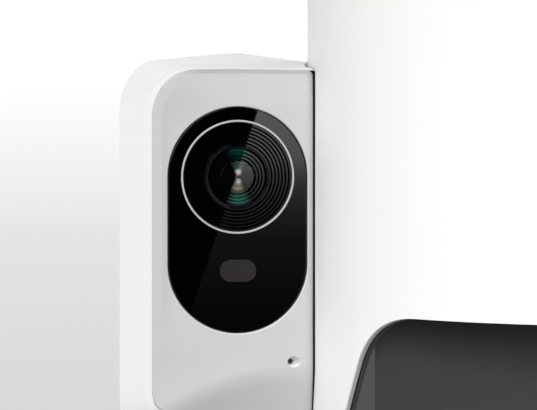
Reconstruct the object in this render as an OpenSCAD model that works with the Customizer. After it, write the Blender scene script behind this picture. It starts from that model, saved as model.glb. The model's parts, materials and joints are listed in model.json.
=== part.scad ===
// Pet feeder with a side camera pod: food hopper, metering rotor, bowl and camera.
// Units are millimetres. +Z is up, the front is -Y, the camera pod is on the -X side.
// The origin is on the tower's axis, on the surface that the feet stand on.

/* [Tower] */
// Outer radius of the round tower shell
tower_r = 85; // [84.5:0.1:86]
// Wall thickness of the tower shell
tower_wall = 2.5; // [2.2:0.1:2.6]
// Height of the tower shell's top rim above the floor
tower_top = 326; // [310:1:340]

/* [Mouth] */
// Height of the mouth's top edge
mouth_top = 130.7; // [129:0.1:131]
// Slope of the mouth's side edges from the horizontal, in degrees
mouth_slope = 63.5; // [61:0.5:65]
// Radius between the top edge and the side edges
mouth_round = 21; // [17:1:24]
// Y of the sharp corner that the radius rounds off
mouth_corner_y = -37.5; // [-39:0.5:-36]
// Width of the soft trim strip under the shell's edge, round the mouth
trim_w = 1.2; // [1:0.1:2]
// Thickness of the shell's lip round the mouth
lip_w = 0.3; // [0.3:0.05:0.5]

/* [Alcove] */
// Half width of the alcove at its back wall
alcove_half_w = 70; // [66:0.5:71]
// Sideways widening of the alcove per millimetre towards the front
alcove_splay = 0.3425; // [0.2:0.01:0.4]
// Thickness of the alcove walls
alcove_wall = 2.5; // [2:0.25:3]

/* [Bowl] */
// Y of the bowl's centre
bowl_y = -64; // [-66:1:-63]
// Radius of the bowl's rolled rim
bowl_rim_r = 61.6; // [58:0.2:62]
// Height of the tray that carries the bowl
tray_top = 34; // [30:1:36]

/* [Drive] */
// Y of the rotor's axis
rotor_y = 0; // [-0.5:0.25:0.5]
// Inner radius of the metering drum
drum_r = 50; // [49.5:0.1:51]
// Number of rotor vanes
vane_count = 6; // [4:1:8]
// Gear module
gear_module = 1; // [1:1:1]
// Teeth on the rotor's gear
gear_teeth = 45; // [45:1:45]
// Teeth on the motor's pinion
pinion_teeth = 15; // [15:1:15]

/* [Camera pod] */
// X of the pod's outer left wall at its front edge
pod_left = -124.8; // [-128:0.2:-124]
// Y of the pod's front face
pod_front = -6; // [-7:0.25:-5]
// Height of the pod's underside at its front edge
pod_bottom = 103.6; // [103:0.2:104]
// Widening of the pod to the left and downwards per millimetre towards the back
pod_flare = 0.15; // [0.12:0.01:0.16]
// Height of the pod's top
pod_top = 186.4; // [186:0.2:190]
// X of the lens axis
lens_x = -103.1; // [-103.6:0.1:-103]
// Height of the lens axis
lens_z = 161; // [160.5:0.1:161.5]
// Radius of the round ends of the window
window_r = 16.25; // [15.8:0.05:16.3]
// Height of the centre of the window's lower round end
window_low_z = 140.9; // [140:0.1:142]
// Gap between the pod's saddle and the tower
pod_gap = 0.8; // [0.6:0.1:1]

/* [Lid] */
// Height of the hinge axis
hinge_z = 337; // [336:0.5:338]
// Y of the hinge axis
hinge_y = 89.5; // [89.5:0.1:90.5]

/* [Hidden] */
$fn = 72;

shell_in = tower_r - tower_wall;
chassis_r = shell_in - 0.2;
base_top = 6;
deck_lo = 133;
deck_hi = 136;
drum_lo = 148;
drum_hi = drum_lo + 34;
passage = [14, rotor_y - 47.5, rotor_y - 28.5];
shift_top = tower_top - 326;
feet_at = [[0, 0], [52, 50], [-52, 50], [44, -92], [-44, -92]];
base_screws_at = [[55, 6.5], [-55, 6.5], [66.5, 36.5], [-66.5, 36.5], [45, -109], [-45, -109]];
motor_y = rotor_y + gear_module * (gear_teeth + pinion_teeth) / 2;
speaker_turn = 48;
cell_x = [-36, 0, 36];
white = [0.93, 0.93, 0.92];
charcoal = [0.24, 0.24, 0.25];
black = [0.06, 0.06, 0.07];
board_green = [0.07, 0.3, 0.16];
steel = [0.75, 0.76, 0.78];

// ---- helpers ----
module slab(x0, x1, y0, y1, z0, z1) { translate([x0, y0, z0]) cube([x1 - x0, y1 - y0, z1 - z0]); }
module zcyl(x, y, z0, z1, r) { translate([x, y, z0]) cylinder(r = r, h = z1 - z0); }
module ycyl(x, z, y0, y1, r) { translate([x, y0, z]) rotate([-90, 0, 0]) cylinder(r = r, h = y1 - y0); }
module xcyl(y, z, x0, x1, r) { translate([x0, y, z]) rotate([0, 90, 0]) cylinder(r = r, h = x1 - x0); }
module ring(r0, r1, z0, z1) { difference() { zcyl(0, 0, z0, z1, r1); zcyl(0, 0, z0 - 1, z1 + 1, r0); } }
// A side-view outline (Y, Z), extruded along X
module side_prism(pts, half) { rotate([90, 0, 90]) linear_extrude(height = 2 * half, center = true) polygon(pts); }
// A front-view outline (X, Z), extruded along Y
module front_prism(pts, y0, y1) { translate([0, y1, 0]) rotate([90, 0, 0]) linear_extrude(height = y1 - y0) polygon(pts); }
module plan_prism(pts, z0, z1) { translate([0, 0, z0]) linear_extrude(height = z1 - z0) polygon(pts); }
function arc(cx, cy, r, a0, a1, n) = [for (i = [0:n]) let (a = a0 + (a1 - a0) * i / n) [cx + r * cos(a), cy + r * sin(a)]];

// The space in front of the tower that the mouth cuts away, grown outwards by o
mouth_c = [mouth_corner_y - (mouth_round - mouth_round * cos(mouth_slope)) / sin(mouth_slope), mouth_top - mouth_round];
function mouth_pts(o) = let (r = mouth_round + o, e = mouth_c + r * [sin(mouth_slope), cos(mouth_slope)], k = (e[1] + 20) / sin(mouth_slope))
  concat([[-120, -20], [-120, mouth_top + o]], arc(mouth_c[0], mouth_c[1], r, 90, 90 - mouth_slope, 16),
    [e + k * [cos(mouth_slope), -sin(mouth_slope)]]);
module mouth_cut(o) { side_prism(mouth_pts(o), 120); }

// The alcove in plan, grown outwards by o
function alcove_x(y, o) = alcove_half_w + o * (sqrt(1 + alcove_splay * alcove_splay) - alcove_splay) + alcove_splay * (o - y);
module alcove(o, z0, z1) {
  plan_prism([[-alcove_x(o, o), o], [alcove_x(o, o), o], [alcove_x(-120, o), -120], [-alcove_x(-120, o), -120]], z0, z1);
}

// ---- tower ----
module outer_shell() {
  color(white) difference() {
    zcyl(0, 0, base_top, tower_top, tower_r);
    zcyl(0, 0, base_top - 1, tower_top + 1, shell_in);
    mouth_cut(0);
    intersection() { mouth_cut(trim_w); zcyl(0, 0, 0, 200, tower_r - lip_w); }
    slab(-52, 52, 40, 95, 12, 80);
    slab(24 - 5.2, 24 + 5.2, 60, 95, 97.4, 102.6);
    ycyl(-24, 100, 60, 95, 3.3);
    translate([0, 0, 105]) rotate([0, 0, speaker_turn]) for (i = [-3:3]) slab(70, 95, -9, 9, i * 3.4 - 0.8, i * 3.4 + 0.8);
    ycyl(0, 168, -95, -60, 8.3);
    ycyl(0, 152, -95, -60, 1.6);
    for (z = [118, 174]) xcyl(8, z, -95, -70, 1.8);
    xcyl(8, 146, -95, -70, 5.2);
  }
}

module mouth_trim() {
  color([0.36, 0.36, 0.37]) intersection() {
    ring(shell_in + 0.1, tower_r - lip_w - 0.05, base_top + 0.2, 145);
    difference() { mouth_cut(trim_w - 0.1); mouth_cut(0); }
  }
}

module lower_chassis() {
  color(charcoal) difference() {
    union() {
      difference() {
        zcyl(0, 0, base_top + 0.2, deck_hi, chassis_r);
        alcove(0, -1, deck_lo);
        difference() { zcyl(0, 0, -1, deck_lo, chassis_r - 2.5); alcove(alcove_wall, -2, deck_lo + 1); }
        slab(-95, 95, 46, 95, -1, deck_lo);
      }
      for (s = [-1, 1]) {
        zcyl(s * 55, 6.5, base_top + 0.2, 30, 4.5);
        zcyl(s * 66.5, 36.5, base_top + 0.2, 30, 4.5);
        slab(s * 34 - 4, s * 34 + 4, 67.65, 70.3, 86, deck_lo + 1);
      }
      zcyl(0, rotor_y, deck_hi - 1, deck_hi + 0.8, 6.5);
    }
    slab(-passage[0], passage[0], passage[1], passage[2], 120, 140);
    zcyl(0, rotor_y, deck_lo + 0.8, 140, 3.05);
    zcyl(0, motor_y, 130, 140, 5);
    for (s = [-1, 1]) zcyl(s * 12, motor_y, 130, 140, 1.6);
    zcyl(-66, 34.2, 130, 140, 4);
    for (i = [0:3]) zcyl(base_screws_at[i][0], base_screws_at[i][1], 0, 19, 1.25);
    xcyl(8, 118, -95, -70, 1.8);
  }
}

module base_plate() {
  color(charcoal) difference() {
    union() { zcyl(0, 0, 3, base_top, tower_r - 0.5); zcyl(0, bowl_y, 3, base_top, 67); }
    for (p = feet_at) zcyl(p[0], p[1], 2, 4, 9.15);
    for (p = base_screws_at) { zcyl(p[0], p[1], 2, 5, 2.9); zcyl(p[0], p[1], 2, 8, 1.5); }
  }
}

module rubber_feet() {
  color(black) for (p = feet_at) translate([p[0], p[1], 0])
    rotate_extrude() polygon([[0, 0], [8.2, 0], [9, 0.8], [9, 3.95], [0, 3.95]]);
}

module base_screws() {
  color(steel) for (p = base_screws_at) difference() {
    union() { zcyl(p[0], p[1], 3.2, 4.95, 2.7); zcyl(p[0], p[1], 4.9, 17, 1.2); }
    slab(p[0] - 1.8, p[0] + 1.8, p[1] - 0.35, p[1] + 0.35, 3, 4.1);
    slab(p[0] - 0.35, p[0] + 0.35, p[1] - 1.8, p[1] + 1.8, 3, 4.1);
  }
}

// ---- bowl ----
module bowl_tray() {
  color(charcoal) difference() {
    translate([0, bowl_y, 0]) rotate_extrude()
      polygon(concat([[0, base_top + 0.05], [66.4, base_top + 0.05], [67, base_top + 0.65]], arc(63, tray_top - 4, 4, 0, 90, 8), [[0, tray_top]]));
    zcyl(0, bowl_y, 9, tray_top + 1, bowl_rim_r - 4.1);
    slab(-95, 95, -0.4, 60, 0, 60);
    for (s = [-1, 1]) {
      translate([s * 66, bowl_y - 14, tray_top + 7]) sphere(r = 16);
      zcyl(s * 45, -109, 0, 19, 1.25);
    }
  }
}

module food_bowl() {
  rr = bowl_rim_r;
  t = tray_top;
  color(steel) translate([0, bowl_y, 0]) rotate_extrude()
    polygon([[0, 9.4], [45, 9.4], [48.2, 11], [rr - 5.8, t + 0.4], [rr - 0.6, t + 0.4], [rr, t + 1.1], [rr - 0.6, t + 1.8],
      [rr - 6.9, t + 1.8], [47.2, 12.6], [44.6, 10.6], [0, 10.6]]);
}

// ---- metering drive ----
module metering_drum() {
  color(charcoal) difference() {
    union() {
      zcyl(0, rotor_y, drum_lo, drum_hi, drum_r + 2.5);
      slab(-passage[0] - 2, passage[0] + 2, passage[1] - 2, passage[2] + 2, deck_hi, drum_lo + 1);
      for (s = [-1, 1]) { zcyl(s * 46, rotor_y, deck_hi, drum_lo + 1, 4); zcyl(s * 30, rotor_y + 36, deck_hi, drum_lo + 1, 4); }
    }
    zcyl(0, rotor_y, drum_lo + 3, drum_hi + 1, drum_r);
    slab(-passage[0], passage[0], passage[1], passage[2], deck_hi - 1, drum_lo + 10);
    zcyl(0, rotor_y, drum_lo - 1, drum_lo + 5, 6.03);
  }
}

module drum_bush() {
  color([0.72, 0.55, 0.28]) difference() {
    union() { zcyl(0, rotor_y, 147.3, 151.05, 6); zcyl(0, rotor_y, 151.02, 152, 8); }
    zcyl(0, rotor_y, 140, 160, 3.06);
  }
}

module wedge(half_turn, z0, z1) {
  plan_prism([[0, 0], [90 * sin(-half_turn), -90 * cos(half_turn)], [0, -90], [90 * sin(half_turn), -90 * cos(half_turn)]], z0, z1);
}

module outlet_baffle() {
  color(white) translate([0, rotor_y, 0]) intersection() {
    union() { ring(17, drum_r - 0.15, drum_hi - 2, drum_hi + 0.6); ring(46, drum_r + 2.4, drum_hi + 0.05, drum_hi + 1.5); }
    wedge(38, 150, 200);
  }
}

module food_rotor() {
  color(white) difference() {
    translate([0, rotor_y, 0]) union() {
      zcyl(0, 0, 152.4, 176, 12);
      translate([0, 0, 176]) cylinder(r1 = 12, r2 = 5, h = 8);
      for (i = [0:vane_count - 1]) rotate([0, 0, 360 * i / vane_count]) slab(0, drum_r - 3.5, -1.3, 1.3, 152.6, 177);
    }
    zcyl(0, rotor_y, 150, 174.5, 3.02);
  }
}

module rotor_wipers() {
  color([0.55, 0.58, 0.6]) translate([0, rotor_y, 0])
    for (i = [0:vane_count - 1]) rotate([0, 0, 360 * i / vane_count]) slab(drum_r - 3.45, drum_r - 0.6, -0.7, 0.7, 152.8, 177);
}

module rotor_shaft() { color(steel) zcyl(0, rotor_y, deck_lo + 1, 174, 3); }

function inv(a) = tan(a) * 180 / PI - a;
// Outline of a spur gear: module m, teeth z, pressure angle 25 degrees, backlash bl along the pitch circle
function gear_pts(m, z, bl) = let (rp = m * z / 2, rb = rp * cos(25), ra = rp + 0.9 * m, rf = rp - 1.2 * m, r0 = max(rb, rf),
    half = 90 / z - bl / 2 / rp * 180 / PI,
    flank = [for (i = [0:4]) let (r = r0 + (ra - r0) * i / 4) [r, half + inv(25) - inv(acos(min(1, rb / r)))]])
  [for (k = [0:z - 1]) each let (c = 360 * k / z) concat(
    [[rf * cos(c - flank[0][1]), rf * sin(c - flank[0][1])]],
    [for (i = [0:4]) [flank[i][0] * cos(c - flank[i][1]), flank[i][0] * sin(c - flank[i][1])]],
    [for (i = [4:-1:0]) [flank[i][0] * cos(c + flank[i][1]), flank[i][0] * sin(c + flank[i][1])]],
    [[rf * cos(c + flank[0][1]), rf * sin(c + flank[0][1])]])];

module rotor_gear() {
  color([0.85, 0.82, 0.7]) difference() {
    translate([0, rotor_y, 0]) union() {
      translate([0, 0, 138]) rotate([0, 0, 90]) linear_extrude(height = 7) polygon(gear_pts(gear_module, gear_teeth, 0.16));
      zcyl(0, 0, 137, 146.6, 8);
    }
    zcyl(0, rotor_y, 130, 150, 3.02);
    for (a = [0:90:270]) translate([14.5 * cos(a), rotor_y + 14.5 * sin(a), 130]) cylinder(r = 4, h = 20);
  }
}

module motor_pinion() {
  color([0.72, 0.55, 0.28]) difference() {
    translate([0, motor_y, 0]) union() {
      translate([0, 0, 137.6]) rotate([0, 0, 270 + 180 / pinion_teeth]) linear_extrude(height = 7.8) polygon(gear_pts(gear_module, pinion_teeth, 0.16));
      zcyl(0, 0, 137, 145.9, 5);
    }
    zcyl(0, motor_y, 130, 150, 2.52);
  }
}

module motor_shaft() { color(steel) zcyl(0, motor_y, 119, 146.4, 2.5); }

module gear_motor() {
  color([0.6, 0.6, 0.62]) difference() {
    union() {
      zcyl(0, motor_y, 108, deck_lo - 0.05, 18.5);
      zcyl(0, motor_y, 78, 108, 14);
      zcyl(0, motor_y, 76.2, 78, 8);
      zcyl(0, motor_y, deck_lo - 1, deck_hi - 0.6, 4.8);
      for (s = [-1, 1]) slab(s * 10 - 1, s * 10 + 1, motor_y - 2, motor_y + 2, 75, 78.5);
    }
    zcyl(0, motor_y, 118, 140, 2.55);
    for (s = [-1, 1]) zcyl(s * 12, motor_y, 125, 140, 1.25);
  }
}

module motor_screws() {
  color(steel) for (s = [-1, 1]) difference() {
    union() { zcyl(s * 12, motor_y, deck_hi + 0.02, deck_hi + 1.9, 2.4); zcyl(s * 12, motor_y, 126, deck_hi + 0.5, 1.2); }
    slab(s * 12 - 1.5, s * 12 + 1.5, motor_y - 0.35, motor_y + 0.35, deck_hi + 1, deck_hi + 3);
  }
}

module stirrer() {
  color([0.86, 0.86, 0.84]) translate([0, rotor_y, 0]) union() {
    zcyl(0, 0, 184.05, 206, 3);
    translate([0, 0, 206]) sphere(r = 3);
    xcyl(0, 199, -33, 33, 2.2);
    for (s = [-1, 1]) translate([s * 33, 0, 199]) sphere(r = 3);
  }
}

module food_chute() {
  t = deck_lo - 0.05;
  color(charcoal) difference() {
    side_prism([[passage[1] - 3.7, t], [passage[2] + 2, t], [passage[2] + 2, t - 6.5], [passage[2] - 31.5, 94.5], [passage[1] - 29.2, 106]], 16);
    side_prism([[passage[1], t + 1], [passage[2], t + 1], [passage[2], t - 5.6], [passage[2] - 40, t - 43.8], [passage[1] - 36, t - 37]], 14);
  }
}

// ---- front button ----
module button_bracket() {
  color(charcoal) union() { slab(-22, 22, -66, -63.5, deck_hi + 0.05, 186); slab(-22, 22, -66, -55, deck_hi + 0.05, 138.5); }
}
module button_board() {
  color(board_green) union() { slab(-20, 20, -67.6, -66.02, 142, 184); slab(-16, -9, -68.8, -67.5, 158, 166); slab(9, 15, -68.6, -67.5, 172, 178); }
}
module feed_switch() {
  color(black) union() { slab(-3, 3, -71, -67.62, 165, 171); ycyl(0, 168, -72.5, -70.9, 1.6); }
}
module feed_button() {
  color(white) union() {
    translate([0, 0, 168]) rotate([-90, 0, 0]) rotate_extrude()
      polygon(concat([[0, -80.4], [10, -80.4], [10, -79], [3, -79], [3, -74], [0, -74]], []));
    translate([0, 0, 168]) rotate([-90, 0, 0]) rotate_extrude()
      polygon([[0, -86.2], [6.8, -86.5], [7.6, -86.2], [8, -85.4], [8, -80.2], [0, -80.2]]);
  }
}
module status_light() { color([0.8, 0.85, 0.9]) ycyl(0, 152, -85.1, -67.65, 1.5); }

// ---- rear electronics ----
module main_board() {
  color(board_green) union() {
    slab(-38, 38, 66, 67.6, 88, 130);
    slab(-27, -21, 67.5, 69.3, 97, 103);
    slab(-8, 8, 67.5, 69.2, 108, 124);
    slab(-30, -16, 67.5, 70.5, 112, 120);
    zcyl(12, 70.4, 92, 104, 2.8);
    slab(10, 14, 67.5, 69, 92, 104);
  }
}
module usb_socket() {
  color(steel) difference() {
    union() { slab(24 - 2.85, 24 + 2.85, 67.65, 80.8, 98.35, 101.65); for (s = [-1, 1]) ycyl(24 + s * 2.85, 100, 67.65, 80.8, 1.65); }
    difference() {
      union() { slab(24 - 2.85, 24 + 2.85, 73, 82, 98.7, 101.3); for (s = [-1, 1]) ycyl(24 + s * 2.85, 100, 73, 82, 1.3); }
      slab(24 - 3.3, 24 + 3.3, 72, 80, 99.65, 100.35);
    }
  }
}
module setup_button() {
  color([0.5, 0.5, 0.52]) translate([-24, 0, 100]) rotate([-90, 0, 0]) rotate_extrude()
    polygon([[0, 70.5], [1.5, 70.5], [1.5, 75], [4.5, 75], [4.5, 76.5], [3, 76.5], [3, 81.6], [2.4, 82.2], [0, 82.2]]);
}
module battery_holder() {
  color(charcoal) union() {
    difference() { slab(-56, 56, 14, 52, base_top + 0.1, 74); slab(-54, 54, 16, 60, 8.1, 72); }
    for (s = [-1, 1]) slab(s * 18 - 0.8, s * 18 + 0.8, 15, 23.5, 8, 72.5);
  }
}
module cell(x, up) {
  translate([x, 34, 40.6]) rotate([up ? 0 : 180, 0, 0]) rotate_extrude()
    polygon([[0, -30.2], [15.6, -30.2], [16.6, -29.4], [16.6, 27.6], [15.6, 28.4], [4.6, 28.4], [4.6, 30], [0, 30]]);
}
module battery_cells() { color([0.35, 0.37, 0.4]) for (i = [0:2]) cell(cell_x[i], i != 1); }
module battery_contacts() {
  color(steel) for (x = cell_x) {
    union() { slab(x - 8, x + 8, 28, 40, 8.15, 8.75); zcyl(x, 34, 8.7, 10.2, 5); }
    union() { slab(x - 8, x + 8, 28, 40, 71.35, 71.95); zcyl(x, 34, 70.95, 71.4, 5); }
  }
}
module battery_door() {
  color(white) difference() {
    intersection() { ring(shell_in + 0.05, tower_r, 0, 100); slab(-51.6, 51.6, 40, 95, 12.4, 79.6); }
    translate([0, tower_r + 12.6, 71]) sphere(r = 14);
  }
}
module speaker_frame() { translate([0, 0, 105]) rotate([0, 0, speaker_turn]) rotate([0, 90, 0]) children(); }
module speaker() {
  color([0.2, 0.2, 0.22]) speaker_frame() difference() {
    rotate_extrude() polygon([[0, 60], [8, 60], [8, 66], [12.4, 73], [14, 73], [14, 76], [0, 76]]);
    rotate_extrude() polygon([[0, 72.5], [4.5, 72.5], [11, 77], [0, 77]]);
  }
}
module speaker_gasket() {
  color(black) intersection() {
    speaker_frame() difference() { translate([0, 0, 76.05]) cylinder(r = 13.9, h = 20); translate([0, 0, 70]) cylinder(r = 12, h = 40); }
    zcyl(0, 0, 80, 130, shell_in - 0.1);
  }
}

// ---- camera pod ----
pod_saddle = tower_r + pod_gap;
// Soft lower left corner of size a at [x, z]
function soft_corner(x, z, a) = [for (k = [0:12]) let (t = 90 - 7.5 * k) [x + a - a * pow(cos(t), 0.69), z + a - a * pow(sin(t), 0.69)]];
// Front-view outline of the pod at depth y, inset by i
function pod_front_pts(i, y) = let (l = pod_left - pod_flare * (y - pod_front) + i, b = pod_bottom - pod_flare * (y - pod_front) + i)
  concat([[-76, b]], soft_corner(l, b, 9.5 - i), arc(l + 11.5 - i, pod_top - 11.5, 11.5 - i, 180, 90, 18),
    [[-103, pod_top - i], [-76, pod_top - 0.6 - i]]);
// Front-view outline of the face panel, grown by o
function face_pts(o) = concat([[-76, pod_bottom + 2.5 - o]], soft_corner(pod_left + 1.6 - o, pod_bottom + 2.5 - o, 6.2 + o),
  arc(pod_left + 12.6, pod_top - 11, 11 + o, 180, 90, 18), [[-103, pod_top + o], [-76, pod_top - 0.6 + o]]);
// Plan of the pod: two slanted back walls that meet in a ridge; the left wall comes from the front outline
face_t = 4.8;
chin_turn = 16;
ridge = [-94.1, 60.2];
back_turn = atan(1.29);
right_turn = atan(3.32);
function pod_plan_pts(i, y0) = let (n1 = [-sin(back_turn), cos(back_turn)], n2 = [sin(right_turn), cos(right_turn)],
    c1 = n1 * ridge - i, c2 = n2 * ridge - i, d = n1[0] * n2[1] - n1[1] * n2[0],
    top = [(c1 * n2[1] - c2 * n1[1]) / d, (n1[0] * c2 - n2[0] * c1) / d])
  [[-70, y0], [-140, y0], [-140, (c1 - 140 * sin(back_turn)) / cos(back_turn)], top, top + 60 * [cos(right_turn), -sin(right_turn)]];
module pod_body(i, y0) {
  intersection() {
    hull() { front_prism(pod_front_pts(i, -30), -30.01, -30); front_prism(pod_front_pts(i, 64), 64, 64.01); }
    plan_prism(pod_plan_pts(i, y0), 80, 195);
  }
}
// Window outline: a slot with round ends
function slot_pts(x, z0, z1, r) = concat(arc(x, z1, r, 0, 180, 28), arc(x, z0, r, 180, 360, 28));
module window_slot(r, y0, y1) { front_prism(slot_pts(lens_x, window_low_z, lens_z, r), y0, y1); }
function flat_slot_pts(x, z, w, h) = concat(arc(x + w / 2 - h / 2, z, h / 2, -90, 90, 14), arc(x - w / 2 + h / 2, z, h / 2, 90, 270, 14));

// Space in front of the slanted chin plane
module chin_cut() {
  translate([-120, pod_front, 108]) rotate([0, -13, 0]) rotate([chin_turn, 0, 0]) translate([-20, -40, -40]) cube([80, 40, 40]);
}
module pod_shell() {
  color(white) difference() {
    union() {
      difference() {
        pod_body(0, pod_front);
        difference() { pod_body(2.6, -20); zcyl(0, 0, 90, 200, pod_saddle + 2.6); }
      }
      difference() {
        union() { for (z = [118, 174]) xcyl(8, z, -107, -86, 4); }
        zcyl(0, 0, 90, 200, pod_saddle + 1);
      }
      intersection() {
        union() { for (z = [151.5, 170.5]) ycyl(-114, z, 19.65, 45, 2.4); }
        pod_body(1.2, pod_front);
      }
    }
    zcyl(0, 0, 90, 200, pod_saddle);
    front_prism(face_pts(0.12), -30, pod_front + face_t + 0.1);
    chin_cut();
    for (z = [118, 174]) xcyl(8, z, -105.5, -80, 1.25);
    xcyl(8, 146, -95, -80, 5.2);
  }
}
module pod_face() {
  color([0.8, 0.8, 0.8]) difference() {
    front_prism(face_pts(0), pod_front, pod_front + face_t);
    zcyl(0, 0, 90, 200, pod_saddle);
    chin_cut();
    window_slot(window_r + 0.15, -20, 0);
    front_prism([[-120, 116], [-78, 116], [-78, 181], [-120, 181]], pod_front + 3, 10);
    translate([-90.6, 0, 118]) rotate([-90, 0, 0]) rotate_extrude() polygon([[0, -7], [1.5, -7], [1.4, pod_front], [0.6, pod_front + 0.8], [0.6, 0], [0, 0]]);
  }
}
module camera_window() {
  color(black) difference() {
    window_slot(window_r, pod_front + 0.25, pod_front + 2);
    ycyl(lens_x, lens_z, -20, 0, 12.66);
    ycyl(lens_x, lens_z, -20, pod_front + 0.75, 13.35);
    front_prism(flat_slot_pts(lens_x + 0.1, 139.1, 8.66, 5.28), -20, 0);
  }
}
module lens_axis() { translate([lens_x, 0, lens_z]) rotate([-90, 0, 0]) children(); }
module lens_ring() {
  color(steel) lens_axis() rotate_extrude()
    polygon([[12.76, pod_front + 0.72], [12.76, pod_front + 0.15], [12.9, pod_front], [13.18, pod_front], [13.32, pod_front + 0.15], [13.32, pod_front + 0.72]]);
}
// Flat glass over the inner lens, set in the hood's bore
module lens_cover() { color([0.5, 0.55, 0.6, 0.4]) ycyl(lens_x, lens_z, pod_front + 0.55, pod_front + 1.35, 6.9); }
// Ridged anti-glare disc around the lens: flat lands with square grooves between them
module lens_hood() {
  n = 5;
  r0 = 11.95;
  p = 0.83;
  y0 = pod_front + 0.45;
  color(black) lens_axis() rotate_extrude()
    polygon(concat([[12.6, 2.5], [12.6, y0]],
      [for (k = [0:n - 1]) each [[r0 - p * k, y0], [r0 - p * k - 0.05, y0 + 0.55], [r0 - p * k - 0.35, y0 + 0.55], [r0 - p * k - 0.4, y0]]],
      [[7.75, y0], [7.65, y0 + 0.12], [7.2, y0 + 0.12], [7.1, y0], [6.95, y0], [6.95, 2.5]]));
}
module front_lens() {
  color([0.3, 0.45, 0.4]) lens_axis() rotate_extrude()
    polygon(concat([[0, -0.35]], [[4.2, -0.35], [4.2, -3.3]], [for (i = [1:12]) let (a = 30.62 * (1 - i / 12)) [8.245 * sin(a), 3.795 - 8.245 * cos(a)]]));
}
module lens_barrel() {
  y1 = pod_front + 1.5;
  color([0.12, 0.12, 0.13]) lens_axis() rotate_extrude()
    polygon(concat([[4.25, y1]], [for (k = [0:2]) each [[4.7 + 0.8 * k, y1], [4.75 + 0.8 * k, y1 + 0.5], [5.05 + 0.8 * k, y1 + 0.5], [5.1 + 0.8 * k, y1]]],
      [[6.9, y1], [6.9, 2.55], [12.5, 2.55], [12.5, 3.8], [8.4, 3.8], [8.4, 16], [3.2, 16], [3.2, -0.3], [4.25, -0.3]]));
}
module image_sensor() { color([0.15, 0.2, 0.3]) slab(lens_x - 4, lens_x + 4, 16.3, 17.95, lens_z - 3.3, lens_z + 3.3); }
module camera_board() {
  color(board_green) union() { slab(-117, -90, 18, 19.6, 148, 174.2); slab(-107.5, -100.5, 19.5, 21.2, 149.5, 153.5); }
}
module ir_window() { color([0.2, 0.19, 0.2]) front_prism(flat_slot_pts(lens_x + 0.1, 139.1, 8.6, 5.22), pod_front + 0.25, pod_front + 1.5); }
module ir_leds() {
  color([0.5, 0.45, 0.5]) for (s = [-1, 1]) translate([lens_x + 0.1 + s * 2, 0, 139.1]) rotate([-90, 0, 0])
    rotate_extrude() polygon(concat([[0, -1.95], [1.7, -1.95], [1.7, -2.8]], arc(0, -2.8, 1.4, 0, -90, 6)));
}
module ir_board() { color(board_green) slab(-111, -96, -1.92, -0.8, 133.5, 144.5); }
module microphone() { color([0.6, 0.6, 0.6]) union() { ycyl(-90.6, 118, pod_front + 3.05, -1, 1.8); } }
module pod_gasket() {
  color(black) difference() {
    intersection() { ring(tower_r + 0.03, pod_saddle - 0.03, 100, 190); slab(-95, -70, -4.6, 18, 112, 182); }
    for (z = [118, 174]) xcyl(8, z, -95, -70, 2.2);
    xcyl(8, 146, -95, -70, 5.5);
  }
}
module pod_screw(z, x) {
  difference() {
    union() { xcyl(8, z, x, x + 1.8, 2.8); xcyl(8, z, -104, x + 0.5, 1.2); }
    slab(x + 1, x + 3, 8 - 1.8, 8 + 1.8, z - 0.35, z + 0.35);
  }
}
module pod_screws() { color(steel) { pod_screw(118, -78.8); pod_screw(174, -81.6); } }

// Route of the camera lead, from the camera board through the saddle and the deck to the main board
lead_route = [[-104, 22.8, 151], [-103, 22.4, 148], [-99, 18, 146], [-94, 11, 146], [-88, 8, 146], [-82, 8, 146], [-76, 11, 145.5],
  [-71, 20, 143], [-68, 28, 140], [-66.4, 33, 136], [-65.6, 35, 132], [-63, 39, 127], [-57, 48, 121], [-48, 58, 116], [-42, 64, 113], [-39.4, 66.8, 112]];
lead_r = 1.2;
function unit(v) = v / norm(v);
function lead_dir(i) = let (n = len(lead_route)) unit(lead_route[min(i + 1, n - 1)] - lead_route[max(i - 1, 0)]);
function lead_ring(i) = let (t = lead_dir(i), h = abs(t[2]) > 0.9 ? [1, 0, 0] : [0, 0, 1], u = unit(cross(t, h)), v = cross(t, u))
  [for (k = [0:7]) lead_route[i] + lead_r * (cos(45 * k) * u + sin(45 * k) * v)];
module camera_lead() {
  n = len(lead_route);
  color(black) polyhedron(
    points = [for (i = [0:n - 1]) each lead_ring(i)],
    faces = concat([[for (k = [0:7]) k]], [[for (k = [7:-1:0]) (n - 1) * 8 + k]],
      [for (i = [0:n - 2]) for (k = [0:7]) each [[i * 8 + k, (i + 1) * 8 + k, i * 8 + (k + 1) % 8], [(i + 1) * 8 + k, (i + 1) * 8 + (k + 1) % 8, i * 8 + (k + 1) % 8]]]));
}

// ---- hopper and lid ----
module hopper() {
  color(white) translate([0, 0, shift_top]) difference() {
    union() {
      rotate_extrude() polygon([[48, 184.5 - shift_top], [50, 184.5 - shift_top], [50, 192 - shift_top], [80.5, 236 - shift_top], [80.5, 326.1], [tower_r, 326.1], [tower_r, 331.2], [tower_r - 0.8, 332],
        [78.5, 332], [78.5, 237 - shift_top], [48, 193 - shift_top]]);
      for (s = [-1, 1]) {
        slab(s * 21.1 - 3.9, s * 21.1 + 3.9, 80, hinge_y + 5, 326.2, 331.9);
        slab(s * 21.1 - 3.9, s * 21.1 + 3.9, hinge_y - 4.1, hinge_y + 5, 330, hinge_z);
        xcyl(hinge_y, hinge_z, s * 21.1 - 3.9, s * 21.1 + 3.9, 5);
      }
    }
    xcyl(hinge_y, hinge_z, -40, 40, 2.02);
  }
}
module hinge_pin() { color(steel) translate([0, 0, shift_top]) union() { xcyl(hinge_y, hinge_z, -25.5, 25.2, 2); xcyl(hinge_y, hinge_z, 25.1, 26.6, 3); } }
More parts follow.
